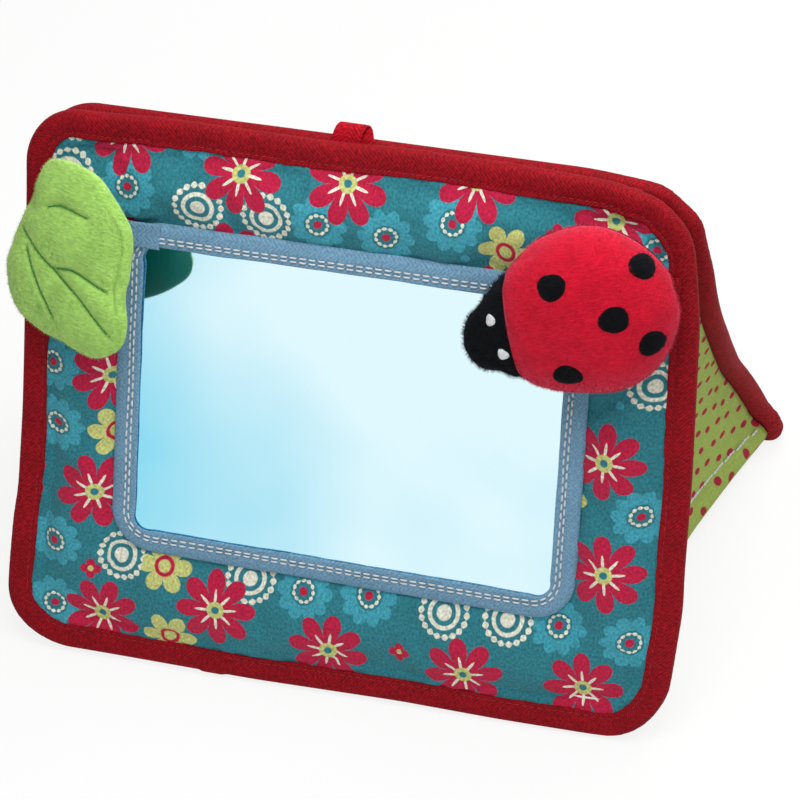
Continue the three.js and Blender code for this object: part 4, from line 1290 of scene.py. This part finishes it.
class FLOORMIRROR_OT_gussets(bpy.types.Operator):
    """Makes the folded side gussets and the stitched hem of each"""

    bl_idname = "floor_mirror.gussets"
    bl_label = "Gussets"

    def execute(self, context):
        look = bpy.data.materials["dotted_lime_cotton"]
        thread = bpy.data.materials["white_sewing_thread"]
        rows, columns = GUSSET_GRID
        for word, side in (("right", 1), ("left", -1)):
            down = np.linspace(0, 1, rows)[:, None]
            points = gusset_points(side, down, np.linspace(0, 1, columns)[None, :])
            run = np.linalg.norm(np.diff(points, axis=1), axis=2)
            flat_x = np.concatenate((np.zeros((rows, 1)), np.cumsum(run, axis=1)), axis=1)
            flat_x -= flat_x[:, -1:] / 2
            flat_y = np.broadcast_to(-down * PANEL.height, flat_x.shape)
            flat = np.stack((flat_x, flat_y, np.zeros_like(flat_x)), axis=-1)
            mesh = make_mesh("gusset_cloth_" + word, points, grid_faces(rows, columns), flat)
            cloth = make_piece(mesh.name, mesh, look, None, ("gusset_" + word,))
            thicken(cloth, CLOTH, 0)
            row = make_piece("gusset_hem_" + word, gusset_hem(side), thread, None, ())
            for piece in (cloth, row):
                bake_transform(piece)
        return {"FINISHED"}


def gusset_points(side, down, across):
    """A gusset from the front panel to the back one, folded inwards down its middle"""
    down, across = np.broadcast_arrays(down, across)
    level = -(BINDING_HALF + GUSSET_BEHIND)
    front_v = (PANEL.height - GUSSET_DROP) * (1 - down) + GUSSET_TURN * down
    back_v = (BACK_PANEL.height - GUSSET_DROP) * (1 - down) + GUSSET_RISE * down
    front_x = side * (half_width(PANEL, front_v) - GUSSET_INSET)
    back_x = -side * (half_width(BACK_PANEL, np.maximum(back_v, GUSSET_TURN)) - GUSSET_INSET)
    start = on_panel(*drifted(FRONT, front_x, front_v), level)
    end = on_back(*drifted(BACK, back_x, back_v), level)
    points = start + across[..., None] * (end - start)
    # The fold swells and sways a little, and the cloth has broad rumples
    fold = np.sin(math.pi * across) * (1 + GUSSET_SWAY * np.sin(3 * math.pi * across + 3 * down))
    noise = soft_noise(across * 140 * MM, down * 240 * MM, 30 * MM, seed=51)
    rumple = GUSSET_RUMPLE * noise * np.sin(math.pi * across) * down
    points[..., 0] += side * (rumple - GUSSET_FOLD * down * fold)
    points[..., 2] = np.maximum(points[..., 2], GUSSET_FLOOR)
    return points


def gusset_hem(side):
    """White stitches along the gusset's lower hem, deeper at the front panel than at the back one"""
    across = np.linspace(*HEM_ENDS, HEM_STITCHES)
    down = 1 - HEM_RISE - HEM_SLANT * (1 - across) ** HEM_SLANT_POWER
    places = gusset_points(side, down, across)
    ways = unit(gusset_points(side, down, across + 0.002) - places)
    above = gusset_points(side, down - 0.005, across)
    ups = unit(np.cross(ways, above - places) * side)
    return stitch_mesh("gusset_hem", places, ways, ups, length=2.2 * MM, radius=0.52 * MM, dip=0.1)


class FLOORMIRROR_OT_ridge(bpy.types.Operator):
    """Makes the tape that joins the panels along the top, and the hanging loop"""

    bl_idname = "floor_mirror.ridge"
    bl_label = "Ridge tape and loop"

    def execute(self, context):
        sizes, colours = values(context)
        look = bpy.data.materials["red_twill_tape"]
        drop, top = PANEL.height - 5.5 * MM, PANEL.height
        path = ((3.9, 0), (5, 0.5), (6.25, 0.8), (7.5, 0.5), (8.6, 0))
        line = [on_panel(0, drop - sag * MM, -back * MM) for back, sag in path]
        tape = ribbon_mesh("ridge_join", line, PANEL_SIDE, width=PANEL.width - 54 * MM, thickness=0.9 * MM)
        piece = make_piece(tape.name, tape, look, None, ("ridge_tape",))
        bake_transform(piece)
        # The loop rises from between the bindings, leans back and shifts a little to one side
        rise = ((-4.8, 1.1), (0.8, 1.15), (3.2, 1.6), (5.2, 1.05), (5.8, 0))
        rise += tuple((up, -reach) for up, reach in reversed(rise[:-1]))
        path = [
            on_panel(
                (0.75 * k - 9.5) * MM, top + up * MM, reach * MM - RIDGE_GAP / 2 - 0.35 * max(up, 0) * MM
            )
            for k, (up, reach) in enumerate(rise)
        ]
        loop = ribbon_mesh("top_loop", path, PANEL_SIDE, width=12 * MM, thickness=0.8 * MM)
        # Painted light: the loop's tape is drawn brighter than the binding's, for the light that the raised
        # loop catches
        look = twill_tape("red_loop_tape_painted_lighter", sizes, colours.loop)
        make_piece(loop.name, loop, look, "front", ("hanging_loop",))
        return {"FINISHED"}


# The leaf


def leaf_radius(angle):
    """The leaf's reach at an angle, smooth through its measured radii"""
    shares = np.array(LEAF_SHARES)
    count = len(shares)
    place = (angle / (2 * math.pi)) % 1 * count
    k = np.floor(place).astype(int) % count
    t = place - np.floor(place)
    p, q, r, s = (shares[(k + d) % count] for d in (-1, 0, 1, 2))
    curve = (
        (2 * t**3 - 3 * t**2 + 1) * q
        + (t**3 - 2 * t**2 + t) * (r - p) / 2
        + (3 * t**2 - 2 * t**3) * r
        + (t**3 - t**2) * (s - q) / 2
    )
    return curve * LEAF_HALF


def vein_line(shares, steps=24):
    """A smooth line through a vein's points, in the leaf's plane"""
    knots = np.array(shares) * LEAF_HALF
    padded = np.vstack((2 * knots[0] - knots[1], knots, 2 * knots[-1] - knots[-2]))
    line = []
    for k in range(len(knots) - 1):
        p, q, r, s = padded[k : k + 4]
        t = np.linspace(0, 1, steps, endpoint=False)[:, None]
        bend, twist = 2 * p - 5 * q + 4 * r - s, 3 * q - p - 3 * r + s
        line.append(0.5 * (2 * q + (r - p) * t + bend * t**2 + twist * t**3))
    return np.vstack(line + [knots[-1:]])


def far_from(line, x, y):
    return np.min(np.hypot(x[..., None] - line[:, 0], y[..., None] - line[:, 1]), axis=-1)


def leaf_half(sizes, face, count=80):
    """The leaf's plush face or its satin underside, as an open shell over a grid bent to a disc"""
    u, w = np.meshgrid(np.linspace(-1, 1, count), np.linspace(-1, 1, count))
    disc_x, disc_y = u * np.sqrt(1 - w**2 / 2), w * np.sqrt(1 - u**2 / 2)
    share, angle = np.hypot(disc_x, disc_y), np.arctan2(disc_y, disc_x)
    # The grid is even near the middle and takes up the outline's shape towards the seam
    rim_reach, even = leaf_radius(angle), 0.85 * LEAF_HALF
    reach = share * (even + (rim_reach - even) * smooth(share / 0.8))
    x, y = reach * np.cos(angle), reach * np.sin(angle)
    height = sizes.leaf_puff + LEAF_SEAM if face else -sizes.leaf_under - LEAF_SEAM
    dome = 0.45 * (1 - share**2) + 0.55 * np.sqrt(np.maximum(1 - share**4, 0))
    z = height * dome
    if face:
        broad = 0.5 * MM * soft_noise(x, y, 15 * MM, seed=61)
        small = 0.2 * MM * soft_noise(x, y, 7 * MM, seed=62)
        z += (broad + small) * (1 - share**4)
        for shares in VEINS.values():
            far = far_from(vein_line(shares), x, y)
            for depth, reach in VEIN_DENTS:
                z -= depth * np.exp(-((far / reach) ** 2))
        # A row of stitching runs inside the leaf's right edge
        edge = (1 - share) * rim_reach
        beside = np.exp(-(((angle - LEAF_ROW_ANGLE) / LEAF_ROW_SPREAD) ** 4))
        z -= LEAF_ROW_DEPTH * beside * np.exp(-(((edge - LEAF_ROW) / LEAF_ROW_REACH) ** 2))
    points = np.stack((x, y, z), -1).reshape(-1, 3)
    faces = grid_faces(count, count)
    return points, faces if face else [tuple(reversed(f)) for f in faces]


def leaf_sewn(points):
    """Which points of the leaf's face its seam and its veins hold down"""
    count = math.isqrt(len(points))
    row, column = np.divmod(np.arange(len(points)), count)
    sewn = (np.minimum(row, column) == 0) | (np.maximum(row, column) == count - 1)
    for shares in VEINS.values():
        sewn |= far_from(vein_line(shares), points[:, 0], points[:, 1]) < 0.8 * MM
    return sewn


def leaf_core(sizes, count=40):
    """The leaf's filling: a closed pad a little inside its two faces"""
    points, faces = [], []
    for face, thin in ((True, 0.45), (False, 0.6)):
        shell, quads = leaf_half(sizes, face, count)
        faces += [tuple(index + len(points) * count * count for index in quad) for quad in quads]
        points.append(shell * (0.93, 0.93, thin))
    index = np.arange(count * count).reshape(count, count)
    edge = [*index[0], *index[1:, -1], *index[-1, -2::-1], *index[-2:0:-1, 0]]
    for a, b in zip(edge, edge[1:] + edge[:1]):
        faces.append((a, b, b + count * count, a + count * count))
    return np.concatenate(points), faces


class FLOORMIRROR_OT_leaf(bpy.types.Operator):
    """Makes the plush leaf with its satin underside, pile and stitched veins"""

    bl_idname = "floor_mirror.leaf"
    bl_label = "Leaf"

    def execute(self, context):
        sizes, colours = values(context)
        sheen = tuple(colours.leaf_sheen)
        plush_look = plush("lime_velour_plush", colours.leaf, sheen, contrast=0.09, edge=0.75)
        halves = {}
        for name, node, face, look, slot in (
            ("leaf_plush", "leaf_face", True, plush_look, "lime_plush"),
            ("leaf_satin", "leaf_underside", False, green_satin(colours), "green_satin"),
        ):
            points, faces = leaf_half(sizes, face)
            halves[face] = mesh = make_mesh(name, on_leaf(*points.T), faces, points)
            if face:
                inflate(mesh, limit=0.9 * MM, held=leaf_sewn(points), shrink=-0.006, point_mass=0.004)
            half = make_piece(name, mesh, look, "leaf", (node,))
            thicken(half, 0.5 * MM)
        mesh = halves[True]
        quads = [tuple(quad.vertices) for quad in mesh.polygons]
        body = BVHTree.FromPolygons([Vector(p) for p in points_of(mesh)], quads)
        out = on_leaf(0, 0, 1) - on_leaf(0, 0, 0)
        thread = sewing_thread("green_sewing_thread", colours.vein)
        for node, shares in VEINS.items():
            line = vein_line(shares, 40)
            lengths = run_lengths(line)
            at = np.arange(1.3 * MM, lengths[-1], 2.2 * MM)
            here, ahead = ([np.interp(at + by, lengths, line[:, k]) for k in (0, 1)] for by in (0, 0.2 * MM))
            places = dropped(body, on_leaf(*here, 20 * MM), out) + NUDGE * out
            ways = unit(on_leaf(*ahead, 0) - on_leaf(*here, 0))
            ups = np.broadcast_to(out, places.shape)
            name = node + "_stitches"
            row = stitch_mesh(name, places, ways, ups, length=2.5 * MM, radius=0.3 * MM, dip=0.25)
            make_piece(name, row, thread, "leaf", (node,))
        core, core_faces = leaf_core(sizes)
        filling = make_mesh("leaf_filling", on_leaf(*core.T), core_faces, core)
        fill = bpy.data.materials["carded_polyester_wadding"]
        pad = make_piece(filling.name, filling, fill, "leaf", ("leaf_wadding",))
        grown = pile(
            "leaf_pile", mesh, count=16000, length=sizes.leaf_pile, width=0.2 * MM, lay=(0.8, 0.5, 0.0),
            seed=71, place=on_leaf,
        )
        make_piece(grown.name, grown, plush_look, "leaf", ())
        return {"FINISHED"}


def dropped(body, starts, out):
    """Where rays against the outward direction first meet a surface"""
    found = []
    for start in starts:
        hit = body.ray_cast(Vector(start), Vector(-out))[0]
        if hit is None:
            raise RuntimeError("a stitch or patch misses the cloth below it")
        found.append(tuple(hit))
    return np.array(found)


def pile(name, mesh, count, length, width, lay, seed, place, bare=()):
    """Tufts of pile outside the bare discs: closed spikes that lean along the lay, in the toy's own axes"""
    rng = np.random.default_rng(seed)
    points = points_of(mesh)
    mesh.calc_loop_triangles()
    triangles = np.array([t.vertices for t in mesh.loop_triangles])
    a, b, c = (points[triangles[:, k]] for k in range(3))
    normals = np.cross(b - a, c - a)
    areas = np.linalg.norm(normals, axis=1)
    pick = rng.choice(len(triangles), count, p=areas / areas.sum())
    s, t = rng.random((2, count, 1))
    over = s + t > 1
    s, t = np.where(over, 1 - s, s), np.where(over, 1 - t, t)
    root = a[pick] + s * (b[pick] - a[pick]) + t * (c[pick] - a[pick])
    kept = np.ones(count, bool)
    for centre, radius in bare:
        kept &= np.linalg.norm(root - centre, axis=1) > radius
    root, pick, count = root[kept], pick[kept], int(kept.sum())
    up = unit(normals)[pick]
    flow = place(*lay) - place(0, 0, 0)
    flow = flow - (up @ flow)[:, None] * up
    lean = unit(up + flow + rng.normal(0, PILE_STRAY, (count, 3)))
    tall = length * rng.uniform(*PILE_LENGTHS, (count, 1))
    side = unit(np.cross(lean, rng.normal(size=(count, 3))))
    other = np.cross(lean, side)
    base = root - PILE_ROOT * length * up
    corners = [base + width / 2 * (a * side + b * other) for a, b in PILE_FOOT]
    spikes = np.stack(corners + [root + tall * lean], axis=1)
    faces = []
    for k in range(0, 4 * count, 4):
        faces += [(k, k + 1, k + 3), (k + 1, k + 2, k + 3), (k + 2, k, k + 3), (k + 2, k + 1, k)]
    flat = np.empty(len(points) * 3)
    mesh.attributes[FLAT].data.foreach_get("vector", flat)
    flat = flat.reshape(-1, 3)[triangles[pick, 0]]
    return make_mesh(name, spikes, faces, np.repeat(flat, 4, axis=0))


# The ladybird


def nose_shift(x):
    """How far the ladybird's middle line bends to one side towards its nose"""
    return NOSE_BEND * (np.minimum(x - WIDEST, 0) / NOSE) ** 2


def dome_rise(x, y):
    """The height of the ladybird's back above its seam"""
    along = (x - WIDEST) / (NOSE if x < WIDEST else TAIL)
    share = math.sqrt(1 - along**2) ** (NOSE_TAPER if x < WIDEST else TAIL_TAPER)
    across = (y - float(nose_shift(x))) / (HALF_WIDTH * share)
    return DOME * share * math.sqrt(max(1 - across**2, 0)) ** FLANK_POWER


def ladybird_share(turn):
    """The ladybird's girth at a turn from nose to tail, as a share of its widest"""
    blunt = smooth((np.cos(turn) - 0.7) / 0.3)
    power = np.where(turn < math.pi / 2, NOSE_TAPER - NOSE_BLUNTING * blunt, TAIL_TAPER)
    return np.sin(turn) ** power


def ladybird_points(rings=52, spokes=80):
    """The ladybird's closed shape in its own axes, with points in rings from nose to tail"""
    turn = (np.arange(1, rings + 1) / (rings + 1) * math.pi)[:, None]
    angle = (np.arange(spokes) / spokes * 2 * math.pi)[None, :]
    length = np.where(turn < math.pi / 2, NOSE, TAIL)
    share = ladybird_share(turn)
    height = np.where(np.sin(angle) > 0, DOME, BELLY)
    lift = np.sign(np.sin(angle)) * np.abs(np.sin(angle)) ** FLANK_POWER
    x = np.broadcast_to(WIDEST - length * np.cos(turn), (rings, spokes))
    y = nose_shift(x) + HALF_WIDTH * share * np.cos(angle)
    z = height * share * lift
    noise = soft_noise(x + z, y + z, 11 * MM, seed=93) + soft_noise(x - z, y, 23 * MM, seed=94)
    lumps = 1 + PLUSH_LUMPS * share * noise
    y, z = y * lumps, z * lumps
    ends = np.array(((WIDEST - NOSE, NOSE_BEND, 0), (WIDEST + TAIL, 0, 0)))
    points = np.concatenate((ends[:1], np.stack((x, y, z), -1).reshape(-1, 3), ends[1:]))
    last = len(points) - 1
    faces = [(0, 1 + (k + 1) % spokes, 1 + k) for k in range(spokes)]
    faces += [(last, last - spokes + k, last - spokes + (k + 1) % spokes) for k in range(spokes)]
    faces += [tuple(index + 1 for index in quad) for quad in grid_faces(rings, spokes, round_columns=True)]
    return points, faces


def cut_shell(points, faces, cuts):
    """The part of a closed shape beyond some planes, as an open shell in the toy's own axes"""
    shape = bmesh.new()
    corners = [shape.verts.new(p) for p in points]
    for face in faces:
        shape.faces.new([corners[k] for k in face])
    bmesh.ops.recalc_face_normals(shape, faces=shape.faces)
    for place, normal in cuts:
        everything = shape.verts[:] + shape.edges[:] + shape.faces[:]
        bmesh.ops.bisect_plane(shape, geom=everything, plane_co=place, plane_no=normal, clear_inner=True)
    shape.verts.index_update()
    local = np.array([corner.co for corner in shape.verts])
    kept = [tuple(corner.index for corner in face.verts) for face in shape.faces]
    shape.free()
    return local, kept


class FLOORMIRROR_OT_ladybird(bpy.types.Operator):
    """Makes the plush ladybird: back, belly, head, spots, stitched eyes and pile"""

    bl_idname = "floor_mirror.ladybird"
    bl_label = "Ladybird"

    def execute(self, context):
        sizes, colours = values(context)
        red = plush("red_velour_plush", colours.red, tuple(colours.red_sheen), contrast=0.09, edge=0.8)
        black = plush("black_long_plush", colours.black, tuple(colours.black_sheen), contrast=0.2, edge=0.5)
        points, faces = ladybird_points()
        whole = make_mesh("ladybird_form", points, faces)
        inflate(whole, limit=1.5 * MM, held=None, shrink=-0.01, point_mass=0.003)
        points = points_of(whole)
        # The head's seam pulls the plush in
        across = np.array((1, -HEAD_SEAM_TILT, 0)) / math.hypot(1, HEAD_SEAM_TILT)
        seam_place = np.array((HEAD_SEAM, 0, 0))
        seam = np.exp(-(((points - seam_place) @ across / HEAD_SEAM_REACH) ** 2))
        points[:, 1:] *= 1 - HEAD_SEAM_PULL * seam[:, None]
        shells = {}
        behind, before = seam_place + NUDGE * across, seam_place - NUDGE * across
        for name, node, look, slot, cuts in (
            ("ladybird_red_back", "ladybird_back", red, "red_plush",
             ((behind, across), ((0, 0, NUDGE), (0, 0, 1)))),
            ("ladybird_black_belly", "ladybird_belly", black, "black_plush",
             ((behind, across), ((0, 0, -NUDGE), (0, 0, -1)))),
            ("ladybird_black_head", "ladybird_head", black, "black_plush", ((before, -across),)),
        ):
            local, kept = cut_shell(points, faces, cuts)
            shells[name] = make_mesh(name, on_ladybird(*local.T), kept, local)
            shell = make_piece(name, shells[name], look, "ladybird", (node,))
            thicken(shell, 0.6 * MM)
        top = BVHTree.FromPolygons([Vector(p) for p in on_ladybird(*points.T)], faces)
        thread = bpy.data.materials["white_sewing_thread"]
        bare = []
        for k, spot in enumerate(SPOTS):
            name, node = f"ladybird_patch_{k + 1}", f"ladybird_spot_{k + 1}"
            mesh = patch_mesh(name, top, spot, sizes.spot_radius, thickness=0.5 * MM, seed=k, stretch=1.15)
            bare.append((points_of(mesh)[0], sizes.spot_radius + 0.4 * MM))
            make_piece(name, mesh, black, "ladybird", (node,))
            name = f"ladybird_patch_pile_{k + 1}"
            fuzz = pile(
                name, mesh, count=700, length=1 * MM, width=0.2 * MM, lay=(0.5, 0, 0), seed=81 + k,
                place=on_ladybird,
            )
            make_piece(name, fuzz, black, "ladybird", ())
        for k, eye in enumerate(EYES):
            name, node = f"ladybird_stitched_eye_{k + 1}", f"ladybird_eye_{k + 1}"
            mesh = patch_mesh(name, top, eye, sizes.eye_radius, thickness=0.7 * MM, seed=9 + k, uneven=0.1)
            bare.append((points_of(mesh)[0], sizes.eye_radius + 0.6 * MM))
            make_piece(name, mesh, thread, "ladybird", (node,))
        for name, source, count, length, look, seed, slot in (
            ("ladybird_red_pile", "ladybird_red_back", 18000, sizes.red_pile, red, 91, "red_plush"),
            ("ladybird_head_pile", "ladybird_black_head", 5000, sizes.black_pile, black, 92, "black_plush"),
        ):
            grown = pile(
                name, shells[source], count, length, width=0.18 * MM, lay=(0.7, 0, -0.2), seed=seed,
                place=on_ladybird, bare=bare,
            )
            make_piece(name, grown, look, "ladybird", ())
        core = points * 0.9
        core[:, 2] = np.clip(core[:, 2], 2 * MM - BELLY, DOME - 3 * MM)
        filling = make_mesh("ladybird_filling", on_ladybird(*core.T), faces, core)
        fill = bpy.data.materials["carded_polyester_wadding"]
        pad = make_piece(filling.name, filling, fill, "ladybird", ("ladybird_stuffing",))
        return {"FINISHED"}


def patch_mesh(name, body, at, radius, thickness, seed, stretch=1.0, uneven=0.04, rings=7, spokes=40):
    """A patch of roughly round outline that lies on the ladybird's surface"""
    x = WIDEST + at[0] * TAIL
    y = float(nose_shift(x)) + at[1] * HALF_WIDTH
    nudge = 0.5 * MM
    fall_x = dome_rise(x - nudge, y) - dome_rise(x + nudge, y)
    fall_y = dome_rise(x, y - nudge) - dome_rise(x, y + nudge)
    normal = Vector((fall_x, fall_y, 2 * nudge)).normalized()
    side = normal.cross(Vector((0, 1, 0))).normalized()
    other = normal.cross(side)
    centre = Vector((x, y, dome_rise(x, y)))
    out = on_ladybird(*normal) - on_ladybird(0, 0, 0)
    rng = np.random.default_rng(seed)
    turns = np.arange(spokes) / spokes * 2 * math.pi
    wobble = 1 + uneven * np.sin(3 * turns + rng.uniform(0, 6)) + rng.uniform(-uneven, uneven, spokes) / 2
    upper, lower = [], []
    for j in range(rings + 1):
        for i in range(spokes if j else 1):
            angle = i / spokes * 2 * math.pi
            reach = radius * float(wobble[i]) * j / rings
            way = math.cos(angle) * side * stretch + math.sin(angle) * other
            start = centre + reach * way + 0.02 * normal
            hit = dropped(body, [on_ladybird(*start)], out)[0]
            dome = math.sqrt(max(1 - (j / rings) ** 3, 0))
            upper.append(hit + out * (NUDGE + thickness * dome))
            lower.append(hit - out * 0.5 * MM)
    count = len(upper)
    faces = [(0, 1 + k, 1 + (k + 1) % spokes) for k in range(spokes)]
    faces += [tuple(index + 1 for index in quad) for quad in grid_faces(rings, spokes, round_columns=True)]
    faces += [tuple(count + index for index in reversed(f)) for f in list(faces)]
    first = count - spokes
    for k in range(spokes):
        nxt = (k + 1) % spokes
        faces.append((first + k, count + first + k, count + first + nxt, first + nxt))
    points = np.array(upper + lower)
    mesh = make_mesh(name, points, faces, points)
    face_outwards(mesh)
    return mesh


class FLOORMIRROR_OT_tabs(bpy.types.Operator):
    """Makes the tabs that the leaf and the ladybird hang on"""

    bl_idname = "floor_mirror.tabs"
    bl_label = "Toy tabs"

    def execute(self, context):
        foot = BINDING_HALF + 0.7 * MM
        y = LEAF_PLACE[1]
        under = -(values(context)[0].leaf_under + 2.0 * MM)
        path = [
            on_panel(-137 * MM, y, foot), on_panel(-131 * MM, y, foot + 0.8 * MM),
            on_leaf(-14 * MM, 0, under), on_leaf(-6 * MM, 0, under),
        ]
        tab = ribbon_mesh("leaf_hanger", path, PANEL_UP, width=16 * MM, thickness=0.8 * MM)
        satin = bpy.data.materials["green_polyester_satin"]
        piece = make_piece("leaf_hanger", tab, satin, None, ("leaf_tab",))
        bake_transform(piece)
        end = on_ladybird(21 * MM, 0, -BELLY + 0.3 * MM)
        level_v = float((end - PANEL_FOOT) @ PANEL_UP)
        start = on_panel(131 * MM, level_v, foot)
        middle = (start + end) / 2 + 0.8 * MM * PANEL_OUT
        path = [start, middle, end]
        tab = ribbon_mesh("ladybird_hanger", path, PANEL_UP, width=14 * MM, thickness=0.8 * MM)
        tape = bpy.data.materials["red_twill_tape"]
        piece = make_piece("ladybird_hanger", tab, tape, None, ("ladybird_tab",))
        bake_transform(piece)
        return {"FINISHED"}


# Floor, lamps and camera

WHITE = (1, 1, 1, 1)
FLOOR_REACH = 6
FLOOR_GAP = 0.4 * MM

# How much of the floor's light the camera sees as plain white, so that its shadows stay faint, and the
# room's light on the object
FLOOR_GLOW = 0.84
ROOM_LIGHT = 0.34

# The camera: its turn, height and roll in degrees, and its place from the front panel's foot, across,
# up and away
CAMERA_TURNS = (16.82, 42.66, -3.07)
CAMERA_AIM_RISE = 100 * MM
CAMERA_PLACE = (30.33 * MM, 46.24 * MM, 1992.3 * MM)

# Each lamp: its place, the place that it lights, its size, power and tint
LAMPS = {
    "key_lamp": ((0.1, -0.22, 0.85), (0, 0, 0.2), 0.5, 4.4, (1, 0.99, 0.98)),
    "fill_lamp": ((1.2, -1.7, 0.8), (0, 0, 0.1), 1.4, 6, (0.98, 0.99, 1)),
    "top_lamp": ((0.25, 0.45, 0.85), (0, 0, 0.2), 0.6, 4.5, (1, 1, 1)),
}


class FLOORMIRROR_OT_stage(bpy.types.Operator):
    """Sets the pale floor, the soft lamps, the surroundings and the camera"""

    bl_idname = "floor_mirror.stage"
    bl_label = "Stage"

    def execute(self, context):
        scene = context.scene
        scene.view_settings.view_transform = "Standard"
        ends = ((-1, -1), (1, -1), (1, 1), (-1, 1))
        corners = [(x * FLOOR_REACH, y * FLOOR_REACH, -FLOOR_GAP) for x, y in ends]
        floor = bpy.data.objects.new("floor", make_mesh("floor", corners, [(0, 1, 2, 3)]))
        scene.collection.objects.link(floor)
        floor.data.materials.append(pale_floor(values(context)[1]))
        for name, (place, target, size, power, tint) in LAMPS.items():
            light = bpy.data.lights.new(name, "AREA")
            light.size = size
            light.energy = power
            light.color = tint
            lamp = bpy.data.objects.new(name, light)
            lamp.location = place
            lamp.rotation_euler = (Vector(place) - Vector(target)).to_track_quat("Z", "Y").to_euler()
            scene.collection.objects.link(lamp)
        surroundings(scene)
        scene.camera = make_camera(scene)
        return {"FINISHED"}


def seen_share(tree, camera_share):
    """1 for gloss and glass, a share for the camera, and 0 for the light on the object"""
    rays = ("Is Camera Ray", "Is Glossy Ray", "Is Transmission Ray")
    camera, *others = add_node(tree, "LightPath", out=rays)
    share = add_node(tree, "Math", camera, camera_share, operation="MULTIPLY")
    for other in others:
        share = add_node(tree, "Math", share, other, operation="MAXIMUM")
    return share


def pale_floor(colours):
    """Matt painted floor: pale, and nearly white to the camera with a soft shadow"""
    look, tree = start_material("matt_white_floor", on_cloth=False)[:2]
    matt = add_node(tree, "BsdfDiffuse", tuple(colours.floor))
    glow = add_node(tree, "Emission", WHITE, 1.0)
    mixed = add_node(tree, "MixShader", seen_share(tree, FLOOR_GLOW), matt, glow)
    add_node(tree, "OutputMaterial", mixed, out=())
    return look


def surroundings(scene):
    """An even pale room, which the camera and the mirror see as white"""
    world = bpy.data.worlds.new("pale_room")
    scene.world = world
    world.use_nodes = True
    tree = world.node_tree
    tree.nodes.clear()
    strength = add_node(tree, "MapRange", seen_share(tree, 1.0), 0.0, 1.0, ROOM_LIGHT, 1.0)
    add_node(tree, "OutputWorld", add_node(tree, "Background", WHITE, strength), out=())


def make_camera(scene):
    """A camera about two metres away, above and to the right, rolled a little"""
    azimuth, elevation, roll = (math.radians(a) for a in CAMERA_TURNS)
    right = Vector((math.cos(azimuth), math.sin(azimuth), 0))
    flat_back = Vector((math.sin(azimuth), -math.cos(azimuth), 0))
    back = flat_back * math.cos(elevation) + Vector((0, 0, math.sin(elevation)))
    up = back.cross(right)
    across = right * math.cos(roll) + up * math.sin(roll)
    upright = -right * math.sin(roll) + up * math.cos(roll)
    place = Vector((0.0, PANEL_FOOT[1], CAMERA_AIM_RISE + PANEL_FOOT[2]))
    for axis, reach in zip((across, upright, back), CAMERA_PLACE):
        place += reach * axis
    lens = bpy.data.cameras.new("camera")
    lens.lens = 225
    lens.sensor_width = 36
    lens.clip_end = 50
    camera = bpy.data.objects.new("camera", lens)
    turn = Matrix((across, upright, back)).transposed().to_4x4()
    camera.matrix_world = Matrix.Translation(place) @ turn
    scene.collection.objects.link(camera)
    return camera


OPERATORS = (
    FLOORMIRROR_OT_stage,
    FLOORMIRROR_OT_front_cloth,
    FLOORMIRROR_OT_back_cloth,
    FLOORMIRROR_OT_linings,
    FLOORMIRROR_OT_bindings,
    FLOORMIRROR_OT_mirror,
    FLOORMIRROR_OT_webbing,
    FLOORMIRROR_OT_gussets,
    FLOORMIRROR_OT_ridge,
    FLOORMIRROR_OT_leaf,
    FLOORMIRROR_OT_ladybird,
    FLOORMIRROR_OT_tabs,
)


class FLOORMIRROR_PT_panel(bpy.types.Panel):
    bl_label = "Floor mirror"
    bl_space_type = "VIEW_3D"
    bl_region_type = "UI"
    bl_category = "Floor mirror"

    def draw(self, context):
        for group in (context.scene.floor_mirror_sizes, context.scene.floor_mirror_colours):
            box = self.layout.box()
            for name in group.__annotations__:
                box.prop(group, name)
        for operator in OPERATORS:
            self.layout.operator(operator.bl_idname)


CLASSES = (FLOORMIRROR_PG_sizes, FLOORMIRROR_PG_colours, *OPERATORS, FLOORMIRROR_PT_panel)


def register():
    for each in CLASSES:
        bpy.utils.register_class(each)
    bpy.types.Scene.floor_mirror_sizes = bpy.props.PointerProperty(type=FLOORMIRROR_PG_sizes)
    bpy.types.Scene.floor_mirror_colours = bpy.props.PointerProperty(type=FLOORMIRROR_PG_colours)


def unregister():
    del bpy.types.Scene.floor_mirror_colours
    del bpy.types.Scene.floor_mirror_sizes
    for each in reversed(CLASSES):
        bpy.utils.unregister_class(each)


def main():
    register()
    for operator in OPERATORS:
        group, name = operator.bl_idname.split(".")
        getattr(getattr(bpy.ops, group), name)()
    bpy.context.view_layer.update()


if __name__ == "__main__":
    main()
